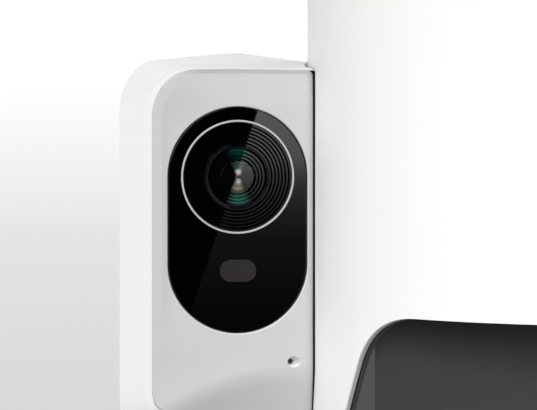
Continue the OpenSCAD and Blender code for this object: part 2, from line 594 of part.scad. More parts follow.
module lid() {
  color(white) translate([0, 0, shift_top]) difference() {
    union() {
      rotate_extrude() polygon(concat([[0, 342.8], [72.5, 342.8], [72.5, 326.8], [75.4, 326.8], [75.4, 342.8], [81.5, 342.8], [81.5, 332.3], [tower_r, 332.3]],
        arc(tower_r - 6, 340, 6, 0, 90, 12), [[0, 346.8]]));
      difference() {
        union() { xcyl(hinge_y, hinge_z, -16.9, 16.9, 5); slab(-16.9, 16.9, 79.5, hinge_y, hinge_z - 3, hinge_z + 4.9); }
        zcyl(0, 0, 320, 350, 81);
      }
    }
    xcyl(hinge_y, hinge_z, -40, 40, 2.06);
    slab(-14.3, 14.3, -95, -79, 334, 342);
  }
}
module lid_seal() {
  color([0.6, 0.62, 0.64]) translate([0, 0, shift_top]) rotate_extrude()
    polygon([[75.45, 327.6], [77.2, 327.6], [78.1, 328.2], [77.3, 328.9], [77.3, 329.7], [78.1, 330.4], [77.2, 331], [75.45, 331]]);
}
module lid_release() {
  color([0.36, 0.36, 0.37]) translate([0, 0, shift_top]) union() {
    difference() {
      intersection() { ring(tower_r - 3, tower_r, 330, 345); slab(-13.9, 13.9, -95, -70, 334.4, 341.6); }
      translate([0, -tower_r - 20.6, 338]) sphere(r = 22);
    }
    slab(-11, 11, -82.6, -78.3, 335.2, 340.8);
    slab(-16.5, 16.5, -79.4, -78.2, 335, 341);
  }
}
module desiccant_box() {
  color(white) translate([0, 0, shift_top]) rotate_extrude() polygon([[28.5, 318], [30, 318], [30, 342.75], [0, 342.75], [0, 340.7], [28.5, 340.7]]);
}
module desiccant_bag() {
  color([0.9, 0.88, 0.84]) translate([0, 0, shift_top]) rotate_extrude()
    polygon(concat([[0, 318.6]], arc(22, 322.6, 4, -90, 0, 6), arc(22, 331, 4, 0, 90, 6), [[0, 335.6]]));
}
module desiccant_cover() {
  color([0.85, 0.85, 0.85]) translate([0, 0, shift_top]) difference() {
    union() {
      rotate_extrude() polygon([[0, 314], [31, 314], [31.8, 314.8], [31.8, 322], [30.35, 322], [30.35, 315.8], [0, 315.8]]);
      slab(-22, 22, -1.5, 1.5, 311.6, 314.5);
    }
    for (a = [22.5:45:360]) rotate([0, 0, a]) slab(9, 25, -1.1, 1.1, 310, 320);
  }
}

outer_shell();
mouth_trim();
lower_chassis();
base_plate();
rubber_feet();
base_screws();
bowl_tray();
food_bowl();
metering_drum();
drum_bush();
outlet_baffle();
food_rotor();
rotor_wipers();
rotor_shaft();
rotor_gear();
stirrer();
motor_pinion();
motor_shaft();
gear_motor();
motor_screws();
food_chute();
button_bracket();
button_board();
feed_switch();
feed_button();
status_light();
main_board();
usb_socket();
setup_button();
battery_holder();
battery_cells();
battery_contacts();
battery_door();
speaker();
speaker_gasket();
pod_shell();
pod_face();
camera_window();
lens_ring();
lens_cover();
lens_hood();
front_lens();
lens_barrel();
image_sensor();
camera_board();
ir_window();
ir_leds();
ir_board();
microphone();
pod_gasket();
pod_screws();
camera_lead();
hopper();
hinge_pin();
lid();
lid_seal();
lid_release();
desiccant_box();
desiccant_bag();
desiccant_cover();
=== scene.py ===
import json
import math
import bmesh
import bpy
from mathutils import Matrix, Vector


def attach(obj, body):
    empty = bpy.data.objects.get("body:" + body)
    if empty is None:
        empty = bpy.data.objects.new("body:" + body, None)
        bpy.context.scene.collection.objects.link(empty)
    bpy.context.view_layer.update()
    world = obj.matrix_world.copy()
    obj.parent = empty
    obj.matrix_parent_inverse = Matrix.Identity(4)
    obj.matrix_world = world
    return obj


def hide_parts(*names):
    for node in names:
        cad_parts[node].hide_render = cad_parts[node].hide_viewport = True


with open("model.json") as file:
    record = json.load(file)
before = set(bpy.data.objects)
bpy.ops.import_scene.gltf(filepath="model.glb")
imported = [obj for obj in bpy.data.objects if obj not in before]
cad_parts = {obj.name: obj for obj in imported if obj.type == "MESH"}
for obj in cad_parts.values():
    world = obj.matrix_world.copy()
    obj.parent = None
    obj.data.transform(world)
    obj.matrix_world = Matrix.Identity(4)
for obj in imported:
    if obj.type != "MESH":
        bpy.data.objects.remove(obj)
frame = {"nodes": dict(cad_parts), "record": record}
NODES = frame["nodes"]
SLOT_OF = {}
for part in frame["record"].get("subparts", []):
    SLOT_OF[part.get("node")] = part.get("material_slot")
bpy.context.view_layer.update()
MM = 0.001
scene = bpy.context.scene


# ---------------------------------------------------------------- mesh helpers
def new_object(name, verts, faces, angle=32.0):
    """A mesh object from millimetre points, with sharp edges over the given angle."""
    me = bpy.data.meshes.new(name)
    me.from_pydata([tuple(c * MM for c in v) for v in verts], [], faces)
    ob = bpy.data.objects.new(name, me)
    scene.collection.objects.link(ob)
    tidy(ob, angle)
    return ob


def tidy(ob, angle=32.0):
    me = ob.data
    bm = bmesh.new()
    bm.from_mesh(me)
    bmesh.ops.remove_doubles(bm, verts=bm.verts, dist=1e-7)
    bmesh.ops.dissolve_degenerate(bm, edges=bm.edges, dist=1e-7)
    bmesh.ops.recalc_face_normals(bm, faces=bm.faces)
    bm.to_mesh(me)
    bm.free()
    me.shade_smooth()
    me.set_sharp_from_angle(angle=math.radians(angle))
    me.update()


def settle(ob, angle=32.0):
    """Applies the object's modifiers."""
    dg = bpy.context.evaluated_depsgraph_get()
    me = bpy.data.meshes.new_from_object(ob.evaluated_get(dg))
    old = ob.data
    ob.modifiers.clear()
    ob.data = me
    me.name = ob.name
    bpy.data.meshes.remove(old)
    tidy(ob, angle)
    return ob


def cut(ob, tool, op="DIFFERENCE", angle=32.0):
    m = ob.modifiers.new("cut", "BOOLEAN")
    m.operation = op
    m.solver = "EXACT"
    m.object = tool
    settle(ob, angle)
    old = tool.data
    bpy.data.objects.remove(tool)
    bpy.data.meshes.remove(old)
    return ob


def flat_front(ob):
    """Shades the faces that lie square to the front as true planes."""
    for f in ob.data.polygons:
        if f.normal.y < -0.99999:
            f.use_smooth = False
    return ob


def arc(cx, cy, r, a0, a1, n):
    return [(cx + r * math.cos(math.radians(a0 + (a1 - a0) * i / n)), cy + r * math.sin(math.radians(a0 + (a1 - a0) * i / n))) for i in range(n + 1)]


def loft(name, rings, angle=32.0, caps=True):
    """A closed solid through rings of the same number of points."""
    n = len(rings[0])
    verts = [p for r in rings for p in r]
    faces = []
    for k in range(len(rings) - 1):
        for i in range(n):
            j = (i + 1) % n
            faces.append((k * n + i, k * n + j, (k + 1) * n + j, (k + 1) * n + i))
    if caps:
        faces.append(tuple(range(n)))
        faces.append(tuple((len(rings) - 1) * n + i for i in range(n))[::-1])
    return new_object(name, verts, faces, angle)


def lathe(name, profile, place, seg=160, angle=30.0):
    """A turned solid: closed (radius, height) outline, and place(r, a, h) giving the point."""
    verts, faces, row = [], [], []
    for r, h in profile:
        if r < 1e-6:
            row.append([len(verts)])
            verts.append(place(0.0, 0.0, h))
        else:
            row.append(list(range(len(verts), len(verts) + seg)))
            verts += [place(r, 2 * math.pi * k / seg, h) for k in range(seg)]
    n = len(profile)
    for i in range(n):
        a, b = row[i], row[(i + 1) % n]
        if len(a) == 1 and len(b) == 1:
            continue
        for k in range(seg):
            q = (k + 1) % seg
            if len(a) == 1:
                faces.append((a[0], b[q], b[k]))
            elif len(b) == 1:
                faces.append((a[k], a[q], b[0]))
            else:
                faces.append((a[k], a[q], b[q], b[k]))
    return new_object(name, verts, faces, angle)


def round_corners(pts, radii, n=6):
    """A closed outline with each corner rounded by its own radius."""
    out = []
    m = len(pts)
    for i, (p, r) in enumerate(zip(pts, radii)):
        a, b = Vector(pts[i - 1]), Vector(pts[(i + 1) % m])
        p = Vector(p)
        u, v = (a - p), (b - p)
        lu, lv = u.length, v.length
        if r <= 0 or lu < 1e-9 or lv < 1e-9:
            out.append(tuple(p))
            continue
        u, v = u / lu, v / lv
        ang = math.acos(max(-1, min(1, u.dot(v))))
        if ang > math.radians(176):
            out.append(tuple(p))
            continue
        t = min(r / math.tan(ang / 2), lu * 0.48, lv * 0.48)
        rr = t * math.tan(ang / 2)
        c = p + (u + v).normalized() * (rr / math.sin(ang / 2))
        s, e = p + u * t, p + v * t
        a0 = math.atan2(s[1] - c[1], s[0] - c[0])
        a1 = math.atan2(e[1] - c[1], e[0] - c[0])
        d = (a1 - a0 + math.pi) % (2 * math.pi) - math.pi
        out += [(c[0] + rr * math.cos(a0 + d * k / n), c[1] + rr * math.sin(a0 + d * k / n)) for k in range(n + 1)]
    return out


def smooth(a, b, x):
    t = max(0.0, min(1.0, (x - a) / (b - a)))
    return t * t * (3 - 2 * t)


# ---------------------------------------------------------------- materials
def material(name, color, rough, metal=0.0, grain=900.0, bump=0.04, vary=0.04, spec=0.5, ior=1.5, tint=0.03, brushed=None, paint_lens_glints=0.0, alpha=1.0, transmission=0.0):
    """A moulded, turned or printed finish: fine grain in the bump, slow changes in tone and gloss."""
    m = bpy.data.materials.new(name)
    m.use_nodes = True
    nt = m.node_tree
    bsdf = nt.nodes["Principled BSDF"]
    bsdf.inputs["Metallic"].default_value = metal
    bsdf.inputs["Specular IOR Level"].default_value = spec
    bsdf.inputs["IOR"].default_value = ior
    bsdf.inputs["Coat Weight"].default_value = paint_lens_glints
    bsdf.inputs["Alpha"].default_value = alpha
    bsdf.inputs["Transmission Weight"].default_value = transmission
    tc = nt.nodes.new("ShaderNodeTexCoord")
    src = tc.outputs["Object"]
    if brushed:
        mp = nt.nodes.new("ShaderNodeMapping")
        mp.inputs["Scale"].default_value = brushed
        nt.links.new(src, mp.inputs["Vector"])
        src = mp.outputs["Vector"]
    fine = nt.nodes.new("ShaderNodeTexNoise")
    fine.inputs["Scale"].default_value = grain
    fine.inputs["Detail"].default_value = 3.0
    nt.links.new(src, fine.inputs["Vector"])
    slow = nt.nodes.new("ShaderNodeTexNoise")
    slow.inputs["Scale"].default_value = 22.0
    slow.inputs["Detail"].default_value = 2.0
    nt.links.new(tc.outputs["Object"], slow.inputs["Vector"])
    # tone
    ramp = nt.nodes.new("ShaderNodeValToRGB")
    ramp.color_ramp.elements[0].position = 0.3
    ramp.color_ramp.elements[1].position = 0.7
    ramp.color_ramp.elements[0].color = tuple(c * (1 - tint) for c in color) + (1.0,)
    ramp.color_ramp.elements[1].color = tuple(min(1.0, c * (1 + tint)) for c in color) + (1.0,)
    nt.links.new(slow.outputs["Fac"], ramp.inputs["Fac"])
    nt.links.new(ramp.outputs["Color"], bsdf.inputs["Base Color"])
    # gloss
    mr = nt.nodes.new("ShaderNodeMapRange")
    mr.inputs["From Min"].default_value = 0.3
    mr.inputs["From Max"].default_value = 0.7
    mr.inputs["To Min"].default_value = max(0.0, rough - vary)
    mr.inputs["To Max"].default_value = min(1.0, rough + vary)
    nt.links.new(fine.outputs["Fac"], mr.inputs["Value"])
    nt.links.new(mr.outputs["Result"], bsdf.inputs["Roughness"])
    # grain
    if bump > 0:
        bp = nt.nodes.new("ShaderNodeBump")
        bp.inputs["Strength"].default_value = bump
        bp.inputs["Distance"].default_value = 0.0002
        nt.links.new(fine.outputs["Fac"], bp.inputs["Height"])
        nt.links.new(bp.outputs["Normal"], bsdf.inputs["Normal"])
    return m


WHITE = (0.84, 0.84, 0.84)
MATS = {
    "shell_white": material("shell_white", WHITE, 0.5, bump=0.03, tint=0.006, spec=0.15),
    "inner_white": material("inner_white", (0.78, 0.78, 0.775), 0.5, bump=0.05, tint=0.012),
    "button_white": material("button_white", (0.8, 0.8, 0.8), 0.36, bump=0.03, tint=0.01),
    "button_grey": material("button_grey", (0.13, 0.13, 0.135), 0.45, bump=0.08),
    "face_grey": material("face_grey", (0.585, 0.585, 0.587), 0.46, bump=0.04, tint=0.008, grain=1400.0),
    "charcoal": material("charcoal", (0.026, 0.026, 0.0267), 0.55, bump=0.12, tint=0.03, grain=1300.0, spec=0.07),
    "drum_grey": material("drum_grey", (0.1, 0.1, 0.105), 0.5, bump=0.08),
    "trim_grey": material("trim_grey", (0.36, 0.36, 0.365), 0.6, bump=0.08),
    # dark collar finish; on the groove's floor it is painted shade
    "trim_dark": material("trim_dark", (0.045, 0.045, 0.046), 0.6, bump=0.08, spec=0.2),
    "rubber_black": material("rubber_black", (0.02, 0.02, 0.021), 0.75, bump=0.2, grain=700.0),
    # seal finish: black rubber, made darker than rubber_black, so it is partly painted shade in the seam
    "gasket_dark": material("gasket_dark", (0.005, 0.005, 0.0053), 0.8, bump=0.2, grain=700.0, spec=0.08),
    "steel": material("steel", (0.6, 0.6, 0.62), 0.3, metal=1.0, bump=0.06),
    "bowl_steel": material("bowl_steel", (0.66, 0.66, 0.67), 0.3, metal=1.0, bump=0.008, grain=1800.0, vary=0.02, tint=0.01),
    "bronze": material("bronze", (0.6, 0.42, 0.2), 0.35, metal=1.0, bump=0.05),
    "nylon": material("nylon", (0.75, 0.72, 0.62), 0.5, bump=0.06),
    "silicone": material("silicone", (0.5, 0.51, 0.52), 0.6, bump=0.08),
    "motor_can": material("motor_can", (0.5, 0.5, 0.52), 0.35, metal=1.0, bump=0.05),
    "board_green": material("board_green", (0.03, 0.18, 0.08), 0.4, bump=0.08),
    "part_black": material("part_black", (0.03, 0.03, 0.032), 0.5, bump=0.08),
    "light_pipe": material("light_pipe", (0.85, 0.88, 0.9), 0.15, bump=0.02, transmission=0.6),
    "socket_metal": material("socket_metal", (0.7, 0.7, 0.72), 0.25, metal=1.0, bump=0.03),
    "cell_jacket": material("cell_jacket", (0.12, 0.13, 0.15), 0.4, bump=0.04),
    "window_black": material("window_black", (0.0006, 0.0006, 0.0007), 0.025, bump=0.0, vary=0.008, tint=0.1),
    "ring_silver": material("ring_silver", (0.5, 0.5, 0.505), 0.38, bump=0.03),
    "lens_glass": material("lens_glass", (0.002, 0.002, 0.003), 0.03, bump=0.0, vary=0.008, alpha=0.2, ior=2.6),
    "lens_black": material("lens_black", (0.0008, 0.0008, 0.0008), 0.028, bump=0.0, vary=0.008),
    # lens_land, lens_coated and the barrel's finish are near black here; painted highlights and painted reflections
    # are laid into their colour further down
    "lens_land": material("lens_land", (0.0008, 0.001, 0.001), 0.028, bump=0.0, vary=0.008),
    "lens_coated": material("lens_coated", (0.001, 0.0008, 0.0022), 0.2, bump=0.0, vary=0.02, spec=0.05),
    "ir_dark": material("ir_dark", (0.027, 0.0245, 0.026), 0.3, bump=0.0, vary=0.02, spec=0.25),
    # pod shell finish: the tower's white plastic painted lighter, which is painted light
    "pod_white": material("pod_white", (0.93, 0.93, 0.93), 0.42, bump=0.03, tint=0.005),
    # barrel finish: near black, with painted green reflections laid into its colour further down
    "lens_teal": material("lens_teal", (0.0008, 0.001, 0.001), 0.2, bump=0.0, vary=0.03, spec=0.05),
    "bag_paper": material("bag_paper", (0.85, 0.83, 0.78), 0.8, bump=0.3, grain=500.0),
}


def shader(name):
    return MATS[name].node_tree.nodes["Principled BSDF"]


def dress(ob, slot_name, body="tower", stands_for=(), finish=None):
    ob.data.materials.clear()
    ob.data.materials.append(MATS[finish or slot_name])
    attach(ob, body)
    if stands_for:
        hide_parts(*stands_for)
    return ob


for name, ob in NODES.items():
    s = SLOT_OF.get(name)
    if s in MATS:
        ob.data.materials.clear()
        ob.data.materials.append(MATS[s])

# ---------------------------------------------------------------- camera pod (millimetres)
TOWER_R = 85.0
SADDLE = 85.8
LEFT, BOTTOM, TOP, FRONT = -124.8, 103.6, 186.4, -6.0
LENS_X, LENS_Z, LOW_Z = -103.1, 161.0, 140.9


def paint_lens_glints(name, top, low, near=0.04, far=0.56):
    """Painted highlights and painted reflections laid into a lens finish's colour, by radius in millimetres, above and
    below the axis, inside an upright fan.
    """
    nt = MATS[name].node_tree
    base = shader(name).inputs["Base Color"]
    plain = base.links[0].from_socket
    tc = nt.nodes.new("ShaderNodeTexCoord")
    mp = nt.nodes.new("ShaderNodeMapping")
    mp.inputs["Scale"].default_value = (1000.0, 0.0, 1000.0)
    mp.inputs["Location"].default_value = (-LENS_X - 0.41, 0.0, -LENS_Z + 0.15)
    nt.links.new(tc.outputs["Object"], mp.inputs["Vector"])
    ln = nt.nodes.new("ShaderNodeVectorMath")
    ln.operation = "LENGTH"
    nt.links.new(mp.outputs["Vector"], ln.inputs[0])
    sp = nt.nodes.new("ShaderNodeSeparateXYZ")
    nt.links.new(mp.outputs["Vector"], sp.inputs["Vector"])

    def calc(op, a, b=None):
        n = nt.nodes.new("ShaderNodeMath")
        n.operation = op
        nt.links.new(a, n.inputs[0])
        if b is not None:
            if isinstance(b, float):
                n.inputs[1].default_value = b
            else:
                nt.links.new(b, n.inputs[1])
        return n.outputs["Value"]

    turn = calc("DIVIDE", calc("ABSOLUTE", sp.outputs["X"]), calc("ADD", calc("ABSOLUTE", sp.outputs["Z"]), 0.7))
    fan = nt.nodes.new("ShaderNodeMapRange")
    fan.interpolation_type = "SMOOTHSTEP"
    fan.inputs["From Min"].default_value = near
    fan.inputs["From Max"].default_value = far
    fan.inputs["To Min"].default_value = 1.0
    fan.inputs["To Max"].default_value = 0.0
    nt.links.new(turn, fan.inputs["Value"])
    where = calc("DIVIDE", ln.outputs["Value"], 8.0)
    painted_light_tones = []
    for stops in (low, top):
        ramp = nt.nodes.new("ShaderNodeValToRGB")
        ramp.color_ramp.elements[0].position = stops[0][0] / 8.0
        ramp.color_ramp.elements[1].position = stops[-1][0] / 8.0
        for r, c in stops[1:-1]:
            ramp.color_ramp.elements.new(r / 8.0)
        for e, (r, c) in zip(ramp.color_ramp.elements, stops):
            e.color = c + (1.0,)
        nt.links.new(where, ramp.inputs["Fac"])
        painted_light_tones.append(ramp.outputs["Color"])
    half = nt.nodes.new("ShaderNodeMix")
    half.data_type = "RGBA"
    nt.links.new(calc("GREATER_THAN", sp.outputs["Z"], 0.0), half.inputs[0])
    nt.links.new(painted_light_tones[0], half.inputs[6])
    nt.links.new(painted_light_tones[1], half.inputs[7])
    mix = nt.nodes.new("ShaderNodeMix")
    mix.data_type = "RGBA"
    nt.links.new(fan.outputs["Result"], mix.inputs[0])
    nt.links.new(plain, mix.inputs[6])
    nt.links.new(half.outputs[2], mix.inputs[7])
    nt.links.new(mix.outputs[2], base)


DARK = (0.002, 0.003, 0.006)
# painted highlights and painted reflections: the domed lens's bow-tie, the green arcs on the barrel's ridges and the
# green arcs on the cover's lands
paint_lens_glints("lens_coated",
     [(0.0, DARK), (0.4, (0.01, 0.01, 0.02)), (0.7, (0.6, 0.56, 0.56)), (1.4, (0.95, 0.82, 0.82)), (1.8, (0.4, 0.34, 0.34)), (2.0, (0.02, 0.08, 0.06)), (2.3, (0.02, 0.26, 0.14)), (2.6, (0.02, 0.1, 0.07)), (2.75, (0.16, 0.28, 0.22)), (2.95, (0.02, 0.03, 0.03)), (3.3, (0.3, 0.23, 0.2)), (3.55, (0.2, 0.16, 0.14)), (3.75, DARK), (4.2, (0.004, 0.07, 0.04))],
     [(0.0, DARK), (0.3, (0.01, 0.01, 0.02)), (0.55, (0.7, 0.7, 0.68)), (1.2, (0.95, 0.95, 0.9)), (1.6, (0.5, 0.48, 0.4)), (2.1, (0.3, 0.29, 0.2)), (2.4, (0.4, 0.34, 0.26)), (2.8, (0.72, 0.53, 0.38)), (3.1, (0.3, 0.25, 0.19)), (3.4, (0.1, 0.16, 0.13)), (3.9, (0.06, 0.18, 0.14)), (4.2, (0.05, 0.2, 0.15))])
paint_lens_glints("lens_teal",
     [(4.2, (0.003, 0.045, 0.026)), (4.7, (0.003, 0.036, 0.028)), (5.2, (0.003, 0.045, 0.04)), (5.8, (0.006, 0.075, 0.07)), (6.4, (0.01, 0.09, 0.09)), (6.9, (0.02, 0.05, 0.065))],
     [(4.2, (0.03, 0.14, 0.1)), (4.7, (0.025, 0.19, 0.135)), (5.4, (0.03, 0.22, 0.15)), (6.1, (0.03, 0.17, 0.15)), (6.5, (0.035, 0.1, 0.13)), (6.9, (0.075, 0.075, 0.15))])
paint_lens_glints("lens_land",
     [(3.9, (0.001, 0.018, 0.01)), (4.7, (0.001, 0.014, 0.011)), (5.2, (0.001, 0.018, 0.016)), (5.8, (0.0024, 0.03, 0.028)), (6.4, (0.004, 0.036, 0.036)), (6.9, (0.008, 0.02, 0.026))],
     [(3.9, (0.012, 0.056, 0.04)), (4.7, (0.01, 0.076, 0.054)), (5.4, (0.012, 0.088, 0.06)), (6.1, (0.012, 0.068, 0.06)), (6.5, (0.014, 0.04, 0.052)), (6.9, (0.03, 0.03, 0.06))])
# the cover glass has its gloss on the front only
nt = MATS["lens_glass"].node_tree
tc = nt.nodes.new("ShaderNodeTexCoord")
sp = nt.nodes.new("ShaderNodeSeparateXYZ")
nt.links.new(tc.outputs["Object"], sp.inputs["Vector"])
mr = nt.nodes.new("ShaderNodeMapRange")
mr.inputs["From Min"].default_value = (FRONT + 1.0) * MM
mr.inputs["From Max"].default_value = (FRONT + 1.1) * MM
mr.inputs["To Min"].default_value = 0.26
mr.inputs["To Max"].default_value = 0.0
nt.links.new(sp.outputs["Y"], mr.inputs["Value"])
nt.links.new(mr.outputs["Result"], shader("lens_glass").inputs["Alpha"])

FLARE = 0.15
RIDGE = (-94.1, 60.2)
BACK_SLOPE, RIGHT_SLOPE = 1.29, 3.32


def back_y(x):
    """Depth of the pod's back: two slanted walls that meet in a soft ridge."""
    y1 = RIDGE[1] + BACK_SLOPE * (x - RIDGE[0])
    y2 = RIDGE[1] - RIGHT_SLOPE * (x - RIDGE[0])
    k = 0.8
    return max(5.0, 40 - k * math.log(math.exp(-(y1 - 40) / k) + math.exp(-(y2 - 40) / k)))


def soft_corner(x, z, a, n=18):
    """Soft lower left corner of size a at (x, z), run from the bottom to the left side."""
    out = []
    for k in range(n + 1):
        t = math.radians(90.0 * (1 - k / n))
        out.append((x + a - a * max(0.0, math.cos(t)) ** 0.69, z + a - a * max(0.0, math.sin(t)) ** 0.69))
    return out


def pod_outline(i=0.0):
    """Front outline of the pod, inset by i, run clockwise from the lower right."""
    pts = [(-74.0, BOTTOM + i), (-84.0, BOTTOM + i), (-90.0, BOTTOM + i), (-95.0, BOTTOM + i), (-104.0, BOTTOM + i)]
    pts += soft_corner(LEFT + i, BOTTOM + i, 9.5 - i)
    pts += [(LEFT + i, z) for z in (118.0, 130.0, 145.0, 160.0)]
    pts += arc(LEFT + 11.5, TOP - 11.5, 11.5 - i, 180, 90, 28)
    pts += [(-108.0, TOP - i), (-103.0, TOP - i), (-99.0, TOP - 0.09 - i), (-96.5, TOP - 0.14 - i), (-95.0, TOP - 0.18 - i), (-94.1, TOP - 0.2 - i), (-93.2, TOP - 0.22 - i), (-92.0, TOP - 0.24 - i), (-86.0, TOP - 0.38 - i), (-74.0, TOP - 0.64 - i)]
    return pts


def flared(p, y):
    """An outline point at depth y: the pod widens to the left and downwards towards the back."""
    d = FLARE * (y - FRONT)
    x = p[0] - d * (1 - smooth(LEFT + 13.0, -100.0, p[0]))
    z = p[1] - d * (1 - smooth(BOTTOM + 10.0, BOTTOM + 30.0, p[1]))
    return x, z


def back_of(p):
    """Depth at which the wall through an outline point meets the pod's back."""
    y = 20.0
    for k in range(30):
        y = back_y(flared(p, y)[0])
    return y


def outline_normals(pts):
    out = []
    n = len(pts)
    for i in range(n):
        a, b = pts[(i - 1) % n], pts[(i + 1) % n]
        if i == 0:
            a = pts[i]
        if i == n - 1:
            b = pts[i]
        tx, tz = b[0] - a[0], b[1] - a[1]
        l = math.hypot(tx, tz)
        out.append((tz / l, -tx / l))
    return out


def chin(x, z):
    """How far the pod's lower front falls back under a curved crease, turning to its full slope in 4.6 mm."""
    t = max(0.0, 117.4 - 0.0085 * (x + 87.0) ** 2 - z)
    return (0.27 + 0.03 * (1 - smooth(-106.0, -92.0, x))) * (t * t / 9.2 if t < 4.6 else t - 2.3)


def edge_round(p):
    """The front edge is full on the left and bottom and turns crisp along the top."""
    return 0.12 + 1.45 * (1 - smooth(-118.0, -108.0, p[0])) * (1 - 0.85 * smooth(178.0, 186.0, p[1])) + 0.5 * (1 - smooth(106.0, 112.0, p[1])) * smooth(-118.0, -106.0, p[0])


def pod_outer():
    pts = pod_outline()
    nrm = outline_normals(pts)
    rings = []
    for k in range(9):
        ring = []
        for p, q in zip(pts, nrm):
            r = edge_round(p)
            d = r * (1 - k / 8)
            y = FRONT + chin(p[0] + q[0] * d, p[1] + q[1] * d) + 0.64 * r * k / 8
            x, z = flared(p, y)
            ring.append((x + q[0] * d, y, z + q[1] * d))
        rings.append(ring)
    for k in range(1, 8):
        ring = []
        for p in pts:
            y0, y1 = FRONT + 0.64 * edge_round(p) + chin(p[0], p[1]), back_of(p) - 1.0
            y = y0 + (y1 - y0) * k / 8
            x, z = flared(p, y)
            ring.append((x, y, z))
        rings.append(ring)
    for k in range(7):
        t = math.radians(90 * k / 6)
        ring = []
        for p, q in zip(pts, nrm):
            d = 1.0 * (1 - math.cos(t))
            y = back_of(p) - 1.0 * (1 - math.sin(t))
            x, z = flared(p, y)
            ring.append((x + q[0] * d, y, z + q[1] * d))
        rings.append(ring)
    return rings


def inward(pts):
    """True when the outline's left-hand normal points inwards."""
    cx = sum(p[0] for p in pts) / len(pts)
    cz = sum(p[1] for p in pts) / len(pts)
    n = outline_normals(pts)
    i = len(pts) // 2
    return (cx - pts[i][0]) * n[i][0] + (cz - pts[i][1]) * n[i][1] > 0


def bridge_solid(name, rings, angle):
    """Loft whose two ends are filled by strips between the outline's lower and upper halves."""
    n = len(rings[0])
    verts = [p for r in rings for p in r]
    faces = []
    for k in range(len(rings) - 1):
        for i in range(n):
            j = (i + 1) % n
            faces.append((k * n + i, k * n + j, (k + 1) * n + j, (k + 1) * n + i))
    for base, flip in ((0, False), ((len(rings) - 1) * n, True)):
        # pair the points from both ends of the run, by their X
        lo, hi = 0, n - 1
        while hi - lo > 1:
            xl, xh = verts[base + lo + 1][0], verts[base + hi - 1][0]
            if hi - lo == 2:
                f = (base + lo, base + lo + 1, base + hi)
                lo += 1
            elif xl > xh + 1e-6:
                f = (base + lo, base + lo + 1, base + hi)
                lo += 1
            elif xh > xl + 1e-6:
                f = (base + lo, base + hi - 1, base + hi)
                hi -= 1
            else:
                f = (base + lo, base + lo + 1, base + hi - 1, base + hi)
                lo += 1
                hi -= 1
            faces.append(f[::-1] if flip else f)
    return new_object(name, verts, faces, angle)


def cylinder_tool(r, z0, z1, seg=256):
    ring = [(r * math.cos(2 * math.pi * k / seg), r * math.sin(2 * math.pi * k / seg)) for k in range(seg)]
    return loft("tool", [[(x, y, z0) for x, y in ring], [(x, y, z1) for x, y in ring]])


FACE_TOP = TOP - 0.32


def face_outline(o=0.0, right=-85.24):
    """Front outline of the face panel, from its lower right, clockwise; o grows it outwards."""
    pts = [(max(right, -85.08) + o, BOTTOM + 2.5 - o)]
    pts += soft_corner(LEFT + 1.6 - o, BOTTOM + 2.5 - o, 6.2 + o, 20)
    pts += arc(LEFT + 12.6, FACE_TOP - 11, 11 + o, 180, 90, 36)
    pts += [(-103.0, FACE_TOP + o)]
    if right < -80:
        pts += [(right - 0.9 + o, FACE_TOP - 0.4 + o), (right + o, FACE_TOP - 1.5 + o), (right + o, 122.0)]
    else:
        pts += [(right + o, FACE_TOP - 0.8 + o)]
    return pts


pod_shell = bridge_solid("pod_shell_skin", pod_outer(), 24.0)
# hollow, open at the front
inner_pts = pod_outline(2.6)
rings = []
for k in range(6):
    ring = []
    for p in inner_pts:
        y = -20 + (max(4.0, back_of(p) - 4.2) + 20) * k / 5
        x, z = flared(p, y)
        ring.append((x, y, z))
    rings.append(ring)
hollow = bridge_solid("hollow", rings, 24.0)
cut(hollow, cylinder_tool(SADDLE + 2.6, 90, 200), angle=24.0)
cut(pod_shell, hollow, angle=24.0)
pocket = face_outline(0.03, -70.0)
cut(pod_shell, loft("pocket", [[(x, -30.0, z) for x, z in pocket], [(x, FRONT + 4.9, z) for x, z in pocket]]), angle=24.0)
cut(pod_shell, cylinder_tool(SADDLE, 90, 200), angle=24.0)
# the pod's shell takes the tower's white plastic painted lighter: painted light
dress(pod_shell, "shell_white", "tower", ["pod_shell"], finish="pod_white")


# face panel: a lofted skin from the window opening out to the panel's edge
def resample(pts, n, closed=True):
    q = pts + [pts[0]] if closed else pts
    acc = [0.0]
    for a, b in zip(q, q[1:]):
        acc.append(acc[-1] + math.hypot(b[0] - a[0], b[1] - a[1]))
    out, i = [], 0
    for k in range(n):
        t = acc[-1] * k / n
        while acc[i + 1] < t:
            i += 1
        f = (t - acc[i]) / (acc[i + 1] - acc[i] + 1e-12)
        out.append((q[i][0] + (q[i + 1][0] - q[i][0]) * f, q[i][1] + (q[i + 1][1] - q[i][1]) * f))
    return out


def seg_dist(p, a, b):
    ax, az = b[0] - a[0], b[1] - a[1]
    t = max(0.0, min(1.0, ((p[0] - a[0]) * ax + (p[1] - a[1]) * az) / (ax * ax + az * az)))
    return math.hypot(p[0] - a[0] - ax * t, p[1] - a[1] - az * t)


def slot_dist(p, r):
    """Distance outside a slot of radius r around the window's axis."""
    return seg_dist(p, (LENS_X, LOW_Z), (LENS_X, LENS_Z)) - r


def inside_box(p, x0, z0, z1, r):
    """Distance inside a box that is open to the right, with its left corners rounded by r."""
    dx, d0, d1 = p[0] - x0, p[1] - z0, z1 - p[1]
    best = min(dx, d0, d1)
    for dz in (d0, d1):
        if dx < r and dz < r:
            best = min(best, r - math.hypot(r - dx, r - dz))
    return best


FACE_EDGE = face_outline()


